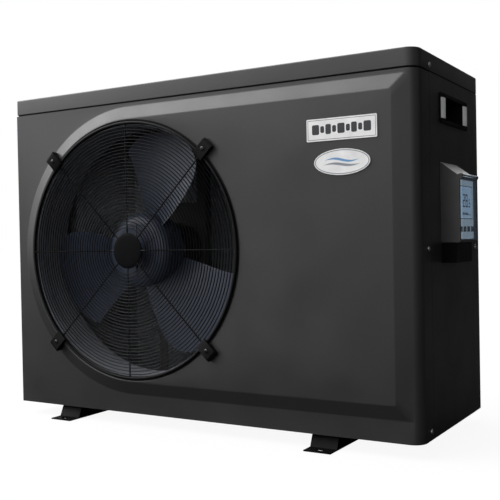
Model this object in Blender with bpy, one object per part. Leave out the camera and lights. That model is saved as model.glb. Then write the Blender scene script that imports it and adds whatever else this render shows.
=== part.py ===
"""Air-source swimming-pool heat pump in a free-standing sheet-metal cabinet.

World frame: metres, +Z up. The front faces -Y; the right side, with the controller, faces +X.
The origin is the centre of the overall box at ground level.

Sizes are in millimetres, in cabinet coordinates:
    x  from the left side (0) to the right side (WIDTH)
    y  from the front border plane (0) to the back (DEPTH)
    z  from the underside of the casing (0) to the top of the lid (HEIGHT)
point() turns them into world coordinates. A "span" is a (start, end) pair on one axis.
"""

import math

import bmesh
import bpy
from mathutils import Vector

# ---------------------------------------------------------------- driving dimensions
WIDTH, DEPTH, HEIGHT = 872.0, 350.0, 632.0  # casing, without feet
FOOT_HEIGHT = 22.0
FOOT_OUT = 22.0  # how far each foot tongue stands out in front of and behind the casing
SHEET = 1.6  # folded sheet thickness
FRONT_SHEET = 2.5  # front panel thickness
CORNER_RADIUS = 22.0  # rounded vertical corners on the right
GAP = 1.0  # between neighbouring casing sheets

SEAM_Z = 601.0  # joint between the front panel and the lid
PANEL_BOTTOM, PANEL_TOP = PANEL_Z = (3.0, SEAM_Z - GAP)  # all upright casing sheets
PANEL_RIGHT = WIDTH - CORNER_RADIUS  # where the front panel starts to bend
FRONT_END_RIGHT, FRONT_END_LEFT = 57.0, 18.0  # y where the front panel's side flanges end
REAR_START_RIGHT, REAR_START_LEFT = 293.0, 326.0  # y where the rear casing's flanges start

FAN_AXIS = FAN_X, FAN_Z = 298.0, 316.0
OPENING_RADIUS = 246.0  # air outlet in the front panel
FIELD_RADIUS = 250.0  # half height of the raised field, and the radius of its left end
BEVEL_RADIUS = 277.5  # outer edge of the bevel round the raised field
RAISE = 10.0  # how far the raised field stands proud
FIELD_Y = -RAISE
FIELD_RIGHT, BEVEL_RIGHT = 830.0, 849.5  # right-hand edges of the field and of its bevel

HANDLE_Y, HANDLE_Z = (137.0, 232.0), (530.0, 568.0)  # grip opening in both sides
HANDLE_PAD = 27.0  # flat pad at each end of the grip opening
HANDLE_RIM = 2.6  # how far the rim of the handle cup stands out

BOX_Y = (106.0, 200.0)  # controller housing on the right side
BOX_BOTTOM, BOX_FACE_TOP, BOX_ROOF_TOP = 322.0, 432.0, 457.0
BOX_OUT = 33.0
HINGE_OUT, BARREL_RADIUS = 2.8, 2.7  # lid hinge axis beyond the housing, and its barrel

PIPE_X = 776.0  # water connections at the back
WATER_PORTS = (("inlet", 118.0), ("outlet", 300.0))  # (name, z)
TAIL_END = 396.0

# Centre of the overall box
CENTRE_X = (-HANDLE_RIM + WIDTH + BOX_OUT + HINGE_OUT + BARREL_RADIUS) / 2
CENTRE_Y = (-FOOT_OUT + TAIL_END) / 2

# ---------------------------------------------------------------- scene and materials
for old in list(bpy.data.objects):
    bpy.data.objects.remove(old, do_unlink=True)


def paint(name, rgb, roughness, metallic=0.0):
    material = bpy.data.materials.get(name) or bpy.data.materials.new(name)
    material.use_nodes = True
    inputs = material.node_tree.nodes["Principled BSDF"].inputs
    inputs["Base Color"].default_value = (*rgb, 1)
    inputs["Roughness"].default_value = roughness
    inputs["Metallic"].default_value = metallic
    material.diffuse_color = (*rgb, 1)
    return material


CASING = paint("casing_paint", rgb=(0.075, 0.075, 0.077), roughness=0.42)
BLACK = paint("black_plastic", rgb=(0.012, 0.012, 0.013), roughness=0.45)
FAN = paint("fan_plastic", rgb=(0.035, 0.038, 0.046), roughness=0.38)
STEEL = paint("zinc_steel", rgb=(0.45, 0.46, 0.47), roughness=0.4, metallic=1.0)
COPPER = paint("copper", rgb=(0.72, 0.34, 0.2), roughness=0.32, metallic=1.0)
ALUMINIUM = paint("aluminium_fin", rgb=(0.62, 0.64, 0.66), roughness=0.45, metallic=1.0)
COMPRESSOR = paint("compressor_paint", rgb=(0.015, 0.015, 0.016), roughness=0.35)
RUBBER = paint("rubber", rgb=(0.02, 0.02, 0.02), roughness=0.8)
PVC = paint("pvc_white", rgb=(0.72, 0.72, 0.7), roughness=0.4)
BRASS = paint("brass", rgb=(0.7, 0.52, 0.25), roughness=0.35, metallic=1.0)
CIRCUIT_BOARD = paint("circuit_board", rgb=(0.02, 0.16, 0.07), roughness=0.5)
DISPLAY = paint("display", rgb=(0.2, 0.26, 0.3), roughness=0.15)
CLEAR_LID = paint("clear_lid", rgb=(0.42, 0.48, 0.54), roughness=0.08)
KEYS = paint("keys", rgb=(0.12, 0.13, 0.14), roughness=0.5)
MEMBRANE = paint("membrane", rgb=(0.33, 0.37, 0.4), roughness=0.4)
LABEL = paint("label_white", rgb=(0.82, 0.82, 0.82), roughness=0.35)


# ---------------------------------------------------------------- objects and booleans
def link(name, shape):
    mesh = bpy.data.meshes.new(name)
    shape.to_mesh(mesh)
    shape.free()
    item = bpy.data.objects.new(name, mesh)
    bpy.context.scene.collection.objects.link(item)
    return item


def part(name, shape, material, smooth=None):
    """A visible piece. With smooth, only edges sharper than that many degrees stay hard."""
    item = link(name, shape)
    item.data.materials.append(material)
    if smooth:
        item.data.shade_smooth()
        item.data.set_sharp_from_angle(angle=math.radians(smooth))
    return item


def helper(name, shape):
    """A hidden operand for a boolean."""
    item = link(name, shape)
    item.hide_render = True
    item.display_type = "WIRE"
    return item


def boolean(item, others, operation):
    for other in others:
        modifier = item.modifiers.new("bool_" + other.name, "BOOLEAN")
        modifier.operation = operation
        modifier.solver = "EXACT"
        modifier.object = other
    return item


def cut(item, *others):
    return boolean(item, others, "DIFFERENCE")


def join(item, *others):
    return boolean(item, others, "UNION")


# ---------------------------------------------------------------- points and outlines
def point(x, y, z):
    return Vector(((x - CENTRE_X) / 1000, (y - CENTRE_Y) / 1000, (z + FOOT_HEIGHT) / 1000))


def place(axis, first, second, along):
    """The point at distance along an axis; first and second are the other two, in xyz order."""
    if axis == "x":
        return point(along, first, second)
    if axis == "y":
        return point(first, along, second)
    return point(first, second, along)


def grow(span, margin):
    """Widens a span at both ends; a negative margin narrows it."""
    return span[0] - margin, span[1] + margin


def polar(centre, radius, angle):
    return centre[0] + radius * math.cos(angle), centre[1] + radius * math.sin(angle)


def arc(x, y, radius, start, end, steps):
    return [
        polar((x, y), radius, math.radians(start + (end - start) * i / steps))
        for i in range(steps + 1)
    ]


def rounded(across, up, radii, steps=4):
    """Rounded rectangle over two spans, counter-clockwise from the lower left corner."""
    corners = (  # (x, y, inward in x, inward in y, start angle)
        (across[0], up[0], 1, 1, 180),
        (across[1], up[0], -1, 1, 270),
        (across[1], up[1], -1, -1, 0),
        (across[0], up[1], 1, -1, 90),
    )
    points = []
    for (x, y, in_x, in_y, start), radius in zip(corners, radii):
        points += arc(x + in_x * radius, y + in_y * radius, radius, start, start + 90, steps)
    return points


# ---------------------------------------------------------------- shape builders
def add_loop(shape, points):
    return [shape.verts.new(position) for position in points]


def bridge(shape, first, second):
    """Faces between two closed loops."""
    count = len(first)
    for i in range(count):
        j = (i + 1) % count
        shape.faces.new((first[i], first[j], second[j], second[i]))


def strip(shape, first, second):
    """Faces between two open rows of vertices."""
    for i in range(len(first) - 1):
        shape.faces.new((first[i], second[i], second[i + 1], first[i + 1]))


def outward(shape):
    bmesh.ops.recalc_face_normals(shape, faces=shape.faces)
    return shape


def box(x, y, z):
    """A block over three spans."""
    shape = bmesh.new()
    corners = [
        shape.verts.new(point(x[i], y[j], height))
        for height in z
        for i, j in ((0, 0), (1, 0), (1, 1), (0, 1))
    ]
    for face in (
        (3, 2, 1, 0), (4, 5, 6, 7), (0, 1, 5, 4), (1, 2, 6, 5), (2, 3, 7, 6), (3, 0, 4, 7),
    ):
        shape.faces.new([corners[i] for i in face])
    return shape


def between(low_points, high_points):
    """A solid between two matching outlines."""
    shape = bmesh.new()
    low = add_loop(shape, low_points)
    high = add_loop(shape, high_points)
    shape.faces.new(low)
    shape.faces.new(high)
    bridge(shape, low, high)
    return outward(shape)


def prism(outline, axis, span):
    """Extrudes an outline along an axis; its points give the other two axes in xyz order."""
    return between(*([place(axis, a, b, end) for a, b in outline] for end in span))


def revolve(profile, axis, centre, segments):
    """Turns a closed outline of (radius, distance along the axis) round an axis."""
    shape = bmesh.new()
    rings = []
    for radius, along in profile:
        if radius < 1e-6:
            ring = [shape.verts.new(place(axis, *centre, along))] * segments
        else:
            ring = add_loop(shape, [
                place(axis, *polar(centre, radius, 2 * math.pi * i / segments), along)
                for i in range(segments)
            ])
        rings.append(ring)
    for k, first in enumerate(rings):
        following = (k + 1) % len(rings)
        second = rings[following]
        if profile[k][0] < 1e-6 and profile[following][0] < 1e-6:
            continue
        for i in range(segments):
            j = (i + 1) % segments
            # next to the axis two corners coincide and the face is a triangle
            corners = list(dict.fromkeys((first[i], first[j], second[j], second[i])))
            shape.faces.new(corners)
    return outward(shape)


def cylinder(axis, centre, radius, span, segments):
    start, end = span
    profile = [(0, start), (radius, start), (radius, end), (0, end)]
    return revolve(profile, axis, centre, segments)


def tube(path, radius, sides=8):
    """A round bar swept along a path, with flat ends."""
    points = [point(*station) for station in path]
    runs = [(b - a).normalized() for a, b in zip(points, points[1:])]
    shape = bmesh.new()
    rings = []
    side = None
    for i, position in enumerate(points):
        before, after = runs[max(i - 1, 0)], runs[min(i, len(runs) - 1)]
        heading = (before + after).normalized()
        if side is None:
            reference = Vector((0, 0, 1)) if abs(heading.z) < 0.9 else Vector((1, 0, 0))
            side = heading.cross(reference).normalized()
        side = (side - heading * side.dot(heading)).normalized()
        other = heading.cross(side)
        # rings at a bend are widened so that the bar keeps its thickness
        stretch = (1.0 / max(0.5, heading.dot(before))) ** 0.5
        ring = []
        for k in range(sides):
            angle = 2 * math.pi * k / sides
            spoke = side * math.cos(angle) + other * math.sin(angle)
            ring.append(shape.verts.new(position + spoke * (radius / 1000) * stretch))
        rings.append(ring)
    for first, second in zip(rings, rings[1:]):
        bridge(shape, first, second)
    shape.faces.new(list(reversed(rings[0])))
    shape.faces.new(rings[-1])
    return outward(shape)


def bend_path(points, radius, steps=3):
    """Rounds the corners of a path of straight pipe runs."""
    path = [points[0]]
    for before, corner, after in zip(points, points[1:], points[2:]):
        before, corner, after = Vector(before), Vector(corner), Vector(after)
        back, ahead = before - corner, after - corner
        reach = min(radius, back.length * 0.45, ahead.length * 0.45)
        start = corner + back.normalized() * reach
        end = corner + ahead.normalized() * reach
        for i in range(steps + 1):
            t = i / steps
            path.append(tuple(start * (1 - t) ** 2 + corner * 2 * t * (1 - t) + end * t**2))
    path.append(points[-1])
    return path


# ---------------------------------------------------------------- front panel
def field_edge(angle, radius, right):
    """Distance from the fan axis to an edge that is round on the left and square on the right."""
    across, up = math.cos(angle), abs(math.sin(angle))
    if across <= 1e-9:
        return radius
    return min((right - FAN_X) / across, radius / up if up > 1e-9 else 1e9)


def border_edge(angle):
    """Distance from the fan axis to the border of the flat front."""
    across, up = math.cos(angle), math.sin(angle)
    hits = []
    if abs(across) > 1e-9:
        hits.append(((PANEL_RIGHT if across > 0 else 0.0) - FAN_X) / across)
    if abs(up) > 1e-9:
        hits.append(((PANEL_TOP if up > 0 else PANEL_BOTTOM) - FAN_Z) / up)
    return min(hits)


def front_angles():
    """Even directions round the fan axis, plus those of every square corner."""
    corners = [
        math.atan2(z - FAN_Z, x - FAN_X)
        for x, z in (
            (PANEL_RIGHT, PANEL_TOP), (0.0, PANEL_TOP),
            (0.0, PANEL_BOTTOM), (PANEL_RIGHT, PANEL_BOTTOM),
            (FIELD_RIGHT, FAN_Z + FIELD_RADIUS), (FIELD_RIGHT, FAN_Z - FIELD_RADIUS),
            (BEVEL_RIGHT, FAN_Z + BEVEL_RADIUS), (BEVEL_RIGHT, FAN_Z - BEVEL_RADIUS),
        )
    ]
    angles = [2 * math.pi * i / 56 for i in range(56)] + [a % (2 * math.pi) for a in corners]
    return sorted(
        angle for i, angle in enumerate(angles)
        if all(abs(angle - earlier) > 1e-4 for earlier in angles[:i])
    )


def front_panel():
    lip = 3.0  # rounding of the outlet edge
    rings = [  # (distance from the fan axis in a direction, y), from the outlet to the border
        (lambda t: OPENING_RADIUS - lip, 12.0),
        (lambda t: OPENING_RADIUS - lip, FIELD_Y + lip),
        (lambda t: OPENING_RADIUS, FIELD_Y),
        (lambda t: field_edge(t, FIELD_RADIUS, FIELD_RIGHT), FIELD_Y),
        (lambda t: field_edge(t, BEVEL_RADIUS, BEVEL_RIGHT), 0.0),
        (border_edge, 0.0),
    ]
    angles = front_angles()
    shape = bmesh.new()
    loops = [
        add_loop(shape, [place("y", *polar(FAN_AXIS, radius(t), t), y) for t in angles])
        for radius, y in rings
    ]
    for first, second in zip(loops, loops[1:]):
        strip(shape, first + first[:1], second + second[:1])

    def border_column(x):
        edge = point(x, 0, 0).x
        column = (vert for vert in loops[-1] if abs(vert.co.x - edge) < 1e-6)
        return sorted(column, key=lambda vert: vert.co.z)

    def moved(column, x, y):
        target = point(x, y, 0)
        return add_loop(shape, [(target.x, target.y, vert.co.z) for vert in column])

    # Rounded right-hand corner with its flange on the side
    bend = [
        (
            PANEL_RIGHT + CORNER_RADIUS * math.sin(math.radians(angle)),
            CORNER_RADIUS * (1 - math.cos(math.radians(angle))),
        )
        for angle in (15, 30, 45, 60, 75, 90)
    ]
    column = border_column(PANEL_RIGHT)
    for x, y in bend + [(WIDTH, FRONT_END_RIGHT)]:
        following = moved(column, x, y)
        strip(shape, column, following)
        column = following

    # Short flange on the left
    column = border_column(0.0)
    strip(shape, moved(column, 0.0, FRONT_END_LEFT), column)

    panel = part("front_panel", shape, CASING, smooth=28)
    thickness = panel.modifiers.new("thickness", "SOLIDIFY")
    thickness.thickness = FRONT_SHEET / 1000
    thickness.offset = -1
    thickness.use_even_offset = True
    return panel


front = front_panel()


# ---------------------------------------------------------------- lid and base pan
def top_cover():
    radii = (3.0, CORNER_RADIUS, CORNER_RADIUS, 3.0)
    steps = [  # (inset, z), up the outside and down the inside
        (0.0, SEAM_Z + GAP), (0.0, HEIGHT - 8.0), (2.4, HEIGHT - 2.4), (8.0, HEIGHT),
        (8.0, HEIGHT - SHEET), (SHEET + 2.0, HEIGHT - 4.0), (SHEET, HEIGHT - 8.0),
        (SHEET, SEAM_Z + GAP),
    ]
    shape = bmesh.new()
    loops = []
    for inset, z in steps:
        corner_radii = [max(1.0, radius - inset) for radius in radii]
        outline = rounded(grow((0, WIDTH), -inset), grow((0, DEPTH), -inset), corner_radii)
        loops.append(add_loop(shape, [point(x, y, z) for x, y in outline]))
    for k, loop in enumerate(loops):
        if k != 3:  # the two top loops get flat faces instead
            bridge(shape, loop, loops[(k + 1) % len(loops)])
    shape.faces.new(loops[3])
    shape.faces.new(loops[4])
    return part("top_cover", outward(shape), CASING, smooth=28)


def base_pan():
    side, bottom, top = 3.2, 2.0, 24.0  # inset of the walls, underside, rim
    radii = (2.0, CORNER_RADIUS - 3.0, CORNER_RADIUS - 3.0, 2.0)
    # (inset, z), down the outside and up the inside
    steps = ((side, top), (side, bottom), (side + SHEET, bottom + SHEET), (side + SHEET, top))
    shape = bmesh.new()
    loops = []
    for inset, z in steps:
        corner_radii = [max(0.6, radius - (inset - side)) for radius in radii]
        outline = rounded(
            grow((0, WIDTH), -inset), grow((0, DEPTH), -(inset + GAP)), corner_radii
        )
        loops.append(add_loop(shape, [point(x, y, z) for x, y in outline]))
    for first, second in ((0, 1), (2, 3), (3, 0)):
        bridge(shape, loops[first], loops[second])
    shape.faces.new(loops[1])
    shape.faces.new(loops[2])
    item = part("base_pan", outward(shape), CASING, smooth=28)
    # condensate drain
    return cut(item, helper("drain_cutter", cylinder("z", (430, 120), 11, (-5, 12), 16)))


lid = top_cover()
pan = base_pan()


# ---------------------------------------------------------------- foot rails
def foot_slot(x, y):
    """A slot with round ends, lying along x."""
    radius, length = 4.6, 15.0
    offset = length / 2 - radius
    return arc(x + offset, y, radius, -90, 90, 6) + arc(x - offset, y, radius, 90, 270, 6)


def foot_rail(name, middle):
    half, thickness, ground = 25.0, 2.2, -FOOT_HEIGHT
    tongue = ground + thickness  # top of the tongues
    profile = [  # (y, z)
        (-FOOT_OUT, ground), (-FOOT_OUT, tongue), (4, tongue), (12, -2.5), (15, 1.7),
        (DEPTH - 15, 1.7), (DEPTH - 12, -2.5), (DEPTH - 4, tongue),
        (DEPTH + FOOT_OUT, tongue), (DEPTH + FOOT_OUT, ground),
        (DEPTH - 8, ground), (DEPTH - 20, -0.8), (20, -0.8), (8, ground),
    ]
    web = [(9, ground), (19, 0.5), (DEPTH - 19, 0.5), (DEPTH - 9, ground)]  # (y, z)
    left, right = middle - half, middle + half
    rail = part(name, prism(profile, "x", (left, right)), BLACK)
    for span in ((left, left + thickness), (right - thickness, right)):
        join(rail, helper(name + "_web", prism(web, "x", span)))
    for y in (-9.0, DEPTH + 9.0):
        slot = prism(foot_slot(middle, y), "z", (ground - 5, ground + 8))
        cut(rail, helper(name + "_slot", slot))


foot_rail("foot_rail_left", 126.0)
foot_rail("foot_rail_right", 697.0)


# ---------------------------------------------------------------- side and rear casing
RIGHT_CUT, LEFT_CUT = (860, 890), (-10, 12)  # x spans that pass through a side panel


def handle_opening(name, x):
    return helper(name, box(x, grow(HANDLE_Y, 6), grow(HANDLE_Z, 5)))


def right_side_panel():
    y = (FRONT_END_RIGHT + GAP, REAR_START_RIGHT - GAP)
    panel = part("right_side_panel", box((WIDTH - SHEET, WIDTH), y, PANEL_Z), CASING)
    wiring = box(RIGHT_CUT, grow(BOX_Y, -12), (BOX_BOTTOM + 14, BOX_FACE_TOP - 10))
    cut(
        panel,
        handle_opening("handle_cutter_right", RIGHT_CUT),
        helper("wiring_cutter", wiring),
    )


def left_side_panel():
    y = (FRONT_END_LEFT + GAP, REAR_START_LEFT - GAP)
    panel = part("left_side_panel", box((0, SHEET), y, PANEL_Z), CASING)
    cut(
        panel,
        helper("inlet_cutter", box(LEFT_CUT, (98, 303), (52, 500))),
        handle_opening("handle_cutter_left", LEFT_CUT),
    )


def rear_corner_post():
    start, width, inside = REAR_START_LEFT, 24, DEPTH - SHEET
    outline = [  # (x, y)
        (0, start), (SHEET, start), (SHEET, inside), (width, inside), (width, DEPTH), (0, DEPTH),
    ]
    part("rear_corner_post", prism(outline, "z", PANEL_Z), CASING)


def rear_service_panel():
    left = 557
    centre = (WIDTH - CORNER_RADIUS, DEPTH - CORNER_RADIUS)
    outer = [(left, DEPTH)] + arc(*centre, CORNER_RADIUS, 0, 90, 5)[::-1]
    outer.append((WIDTH, REAR_START_RIGHT))
    inner = [(WIDTH - SHEET, REAR_START_RIGHT)]
    inner += arc(*centre, CORNER_RADIUS - SHEET, 0, 90, 5) + [(left, DEPTH - SHEET)]
    panel = part(
        "rear_service_panel", prism(outer + inner, "z", PANEL_Z), CASING, smooth=28
    )
    through = (340, 360)
    for name, z in WATER_PORTS:
        hole = cylinder("y", (PIPE_X, z), 27.5, through, 24)
        cut(panel, helper(name + "_cutter_r", hole))
    return cut(panel, helper("gland_cutter", cylinder("y", GLAND, 10.5, through, 16)))


GLAND = (640, 440)  # (x, z) of the cable gland

right_side_panel()
left_side_panel()
rear_corner_post()
rear_panel = rear_service_panel()


def bars(start, end, rim, openings, bar=6):
    """Grid lines for a rim, its openings and the bars between them."""
    lines = [start]
    pitch = (end - start - 2 * rim + bar) / openings
    for i in range(openings):
        opening = start + rim + i * pitch
        lines += [opening, opening + pitch - bar]
    return lines + [end]


def coil_guard(name, axis, columns, rows, span):
    """A flat grille between grid lines; the cells odd in both directions are open."""
    shape = bmesh.new()
    grid = {}

    def vert(i, j, side):
        if (i, j, side) not in grid:
            grid[i, j, side] = shape.verts.new(place(axis, columns[i], rows[j], span[side]))
        return grid[i, j, side]

    solid = {
        (i, j) for i in range(len(columns) - 1) for j in range(len(rows) - 1)
        if not (i % 2 and j % 2)
    }
    for i, j in solid:
        corners = ((i, j), (i + 1, j), (i + 1, j + 1), (i, j + 1))
        shape.faces.new([vert(*corners[k], 0) for k in (0, 1, 2, 3)])
        shape.faces.new([vert(*corners[k], 1) for k in (0, 3, 2, 1)])
        # (neighbouring cell, ends of the edge shared with it)
        for neighbour, start, end in (
            ((i - 1, j), corners[0], corners[3]),
            ((i + 1, j), corners[2], corners[1]),
            ((i, j - 1), corners[1], corners[0]),
            ((i, j + 1), corners[3], corners[2]),
        ):
            if neighbour not in solid:
                shape.faces.new(
                    [vert(*start, 0), vert(*end, 0), vert(*end, 1), vert(*start, 1)]
                )
    part(name, outward(shape), BLACK)


coil_guard(
    "rear_coil_guard", "y",
    columns=bars(25, 556, rim=10, openings=10),
    rows=bars(10, 598, rim=10, openings=6),
    span=(346.4, 349.6),
)
coil_guard(
    "left_coil_guard", "x",
    columns=bars(90, 311, rim=12, openings=4),
    rows=bars(44, 508, rim=12, openings=6),
    span=(SHEET + 0.4, SHEET + 3.2),
)


def handle_cup(name, face, inward):
    """A moulded grip cup let into a side panel.

    face is the panel's outer plane, inward is the direction (+1 or -1) into the cabinet.
    """

    def depths(start, end):
        return sorted((face + inward * start, face + inward * end))

    outline = rounded(grow(HANDLE_Y, HANDLE_PAD + 3), grow(HANDLE_Z, 6.5), [5] * 4, 3)
    cup = part(name, prism(outline, "x", depths(-0.4, -HANDLE_RIM)), BLACK)
    body = box(depths(-1.0, 36.0), grow(HANDLE_Y, 4), grow(HANDLE_Z, 4))
    join(cup, helper(name + "_body", body))
    cut(cup, helper(name + "_grip", box(depths(-6.0, 33.0), HANDLE_Y, HANDLE_Z)))


handle_cup("handle_cup_right", WIDTH, -1)
handle_cup("handle_cup_left", 0.0, 1)

part("partition_panel", box(x=(566, 568), y=(17, 346), z=(27, 597)), STEEL)

# ---------------------------------------------------------------- shroud, guard and clips
SHROUD_PROFILE = [  # (radius, y)
    (241, 13.2), (262, 13.2), (262, 15.6), (243.6, 15.6),
    (243.6, 80), (257, 91), (255.5, 93), (241, 81),
]
part("fan_shroud", revolve(SHROUD_PROFILE, "y", FAN_AXIS, 48), CASING, smooth=35)


def fan_guard():
    """Flat welded guard: rings and eight spokes in one plane, with a centre disc."""
    faces_y = (FIELD_Y - 4.4, FIELD_Y - 0.5)
    spokes, half_spoke, facets = 8, 2.0, 4  # facets: between two spokes
    # Odd bands between these radii are rings, even bands are crossed by the spokes only
    radii = [36.0]
    for middle in (80, 122, 164, 206):
        radii += grow((middle, middle), 1.6)
    radii += [239.5, 248.5]

    pitch = 2 * math.pi / spokes
    sectors = facets + 1
    count = spokes * sectors
    shape = bmesh.new()
    grid = {}

    def angle_at(radius, i):
        """Sector 0 of each pitch is the spoke, of constant width at any radius."""
        half_angle = math.asin(half_spoke / radius)
        spoke, step = divmod(i, sectors)
        if step == 0:
            return spoke * pitch - half_angle
        free = pitch - 2 * half_angle
        return spoke * pitch + half_angle + free * (step - 1) / facets

    def vert(ring, i, side):
        key = (ring, i % count, side)
        if key not in grid:
            radius = radii[ring]
            across_up = polar(FAN_AXIS, radius, angle_at(radius, i % count))
            grid[key] = shape.verts.new(place("y", *across_up, faces_y[side]))
        return grid[key]

    def wall(start, end):
        shape.faces.new([vert(*start, 0), vert(*end, 0), vert(*end, 1), vert(*start, 1)])

    solid = {
        (band, i) for band in range(len(radii) - 1) for i in range(count)
        if band % 2 == 1 or i % sectors == 0
    }
    for side in (0, 1):
        shape.faces.new([vert(0, i, side) for i in range(count)])
    for band, i in solid:
        corners = ((band, i), (band + 1, i), (band + 1, i + 1), (band, i + 1))
        for side in (0, 1):
            shape.faces.new([vert(*corner, side) for corner in corners])
        if (band + 1, i) not in solid:
            wall(corners[1], corners[2])
        if band > 0 and (band - 1, i) not in solid:
            wall(corners[0], corners[3])
        for step, edge in ((-1, i), (1, i + 1)):
            if (band, (i + step) % count) not in solid:
                wall((band, edge), (band + 1, edge))
    for i in range(count):
        if (0, i) not in solid:
            wall((0, i), (0, i + 1))
    part("fan_guard", outward(shape), BLACK)


def guard_clip(name, degrees):
    """Clip that holds the rim of the guard. On the left its foot reaches down the bevel."""
    angle = math.radians(degrees)
    cosine, sine = math.cos(angle), math.sin(angle)
    front_y, over_guard = FIELD_Y - 9.5, FIELD_Y - 5.0

    def floor(radius):
        drop = 0.0
        if cosine < 0:
            slope = RAISE / (BEVEL_RADIUS - FIELD_RADIUS)
            drop = max(0.0, (radius - FIELD_RADIUS) * slope)
        return FIELD_Y + drop - 0.4

    profile = [  # (radius, y)
        (251.5, over_guard), (251.5, floor(251.5)), (271.0, floor(271.0)),
        (273.0, front_y + 3.5), (268.0, front_y), (240.0, front_y),
        (236.5, front_y + 2.0), (236.5, over_guard),
    ]
    ends = [
        [
            point(FAN_X + r * cosine - side * sine, y, FAN_Z + r * sine + side * cosine)
            for r, y in profile
        ]
        for side in (-12.0, 12.0)
    ]
    part(name, between(*ends), BLACK)


fan_guard()
guard_clip("guard_clip_upper_right", 45)
guard_clip("guard_clip_upper_left", 135)
guard_clip("guard_clip_lower_left", 225)
guard_clip("guard_clip_lower_right", 315)

# ---------------------------------------------------------------- fan and motor
FAN_RADIUS, HUB_RADIUS = 232.0, 72.0
BLADES = 3
FAN_START = 74.0  # direction of the first blade, degrees
BLADE_ROOT = HUB_RADIUS - 2.0  # the blades start inside the hub wall


def blade_point(middle, out, side, face):
    """A point of a blade.

    out runs 0..1 from root to tip, side -0.5..0.5 across the blade; face is -1 or 1.
    """
    edge = 2 * abs(side)
    reach = (FAN_RADIUS - BLADE_ROOT) * out
    reach *= 1 - 0.16 * max(0.0, out - 0.6) / 0.4 * edge**3  # rounds off the outer corners
    width = math.radians(67 - 12 * out)
    sweep = math.radians(5 * out * out)
    rise = 52 - 22 * out  # pitch of the blade, as a height over its width
    camber = (0.25 - side * side) * 14
    half_thickness = (1.7 - 0.7 * out) * (1 - 0.55 * edge**2)
    y = 53 + side * rise + camber + face * half_thickness
    return place("y", *polar(FAN_AXIS, BLADE_ROOT + reach, middle + sweep + side * width), y)


def blade(middle):
    last = 6  # cells each way
    shape = bmesh.new()
    a, b = (
        [
            add_loop(shape, [
                blade_point(middle, i / last, j / last - 0.5, face) for j in range(last + 1)
            ])
            for i in range(last + 1)
        ]
        for face in (-1, 1)
    )
    for i in range(last):
        for j in range(last):
            shape.faces.new((a[i][j], a[i + 1][j], a[i + 1][j + 1], a[i][j + 1]))
            shape.faces.new((b[i][j], b[i][j + 1], b[i + 1][j + 1], b[i + 1][j]))
    for i in range(last):
        shape.faces.new((a[i][0], b[i][0], b[i + 1][0], a[i + 1][0]))
        shape.faces.new((a[i][-1], a[i + 1][-1], b[i + 1][-1], b[i][-1]))
    for j in range(last):
        shape.faces.new((a[0][j], a[0][j + 1], b[0][j + 1], b[0][j]))
        shape.faces.new((a[-1][j], b[-1][j], b[-1][j + 1], a[-1][j + 1]))
    return outward(shape)


def fan_rotor():
    wall = HUB_RADIUS - 3
    hub = [  # (radius, y)
        (6.5, 15), (52, 15), (64, 19), (HUB_RADIUS, 27), (HUB_RADIUS, 74),
        (wall, 74), (wall, 30), (20, 22), (20, 62), (6.5, 62),
    ]
    rotor = part("fan_rotor", revolve(hub, "y", FAN_AXIS, 30), FAN, smooth=30)
    for k in range(BLADES):
        middle = math.radians(FAN_START + 360 / BLADES * k)
        join(rotor, helper(f"blade_{k + 1}", blade(middle)))


fan_rotor()
part("fan_shaft", cylinder("y", FAN_AXIS, 6.0, (6, 116), 14), STEEL, smooth=40)
LOCK_NUT_PROFILE = [(7.4, 8), (11.5, 8), (11.5, 14.4), (7.4, 14.4)]  # (radius, y)
part("fan_lock_nut", revolve(LOCK_NUT_PROFILE, "y", FAN_AXIS, 6), STEEL)
MOTOR_PROFILE = [  # (radius, y), with a blind bore for the shaft
    (7, 84), (18, 84), (18, 92), (52, 95), (56, 101),
    (56, 158), (50, 164), (0, 164), (0, 122), (7, 122),
]
part("fan_motor", revolve(MOTOR_PROFILE, "y", FAN_AXIS, 24), COMPRESSOR, smooth=30)


def motor_bracket():
    left, right = grow((FAN_X, FAN_X), 62)
    height = (27, 597)
    bracket = part("motor_bracket", box((left, right), (165, 167), height), STEEL)
    for suffix, x in (("l", (left, left + 2)), ("r", (right - 2, right))):
        join(bracket, helper("bracket_flange_" + suffix, box(x, (166, 185), height)))
    for suffix, z in (("low", (60, 220)), ("high", (412, 570))):
        window = box(grow((FAN_X, FAN_X), 42), (160, 190), z)
        cut(bracket, helper("bracket_window_" + suffix, window))


motor_bracket()

# ---------------------------------------------------------------- evaporator
COIL_OUTLINE = [(40, 102), (66, 102), (66, 308), (556, 308), (556, 336), (40, 336)]  # (x, y)
part("evaporator_coil", prism(COIL_OUTLINE, "z", (26, 596)), ALUMINIUM)

MANIFOLD_X, MANIFOLD_Y = 600, 322
manifold = part(
    "coil_manifold",
    cylinder("z", (MANIFOLD_X, MANIFOLD_Y), 9, (110, 540), 10),
    COPPER, smooth=40,
)
for stub_z in range(140, 501, 90):
    stub = cylinder("x", (MANIFOLD_Y, stub_z), 4, (572, 596), 8)
    join(manifold, helper("manifold_stub", stub))


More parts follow.
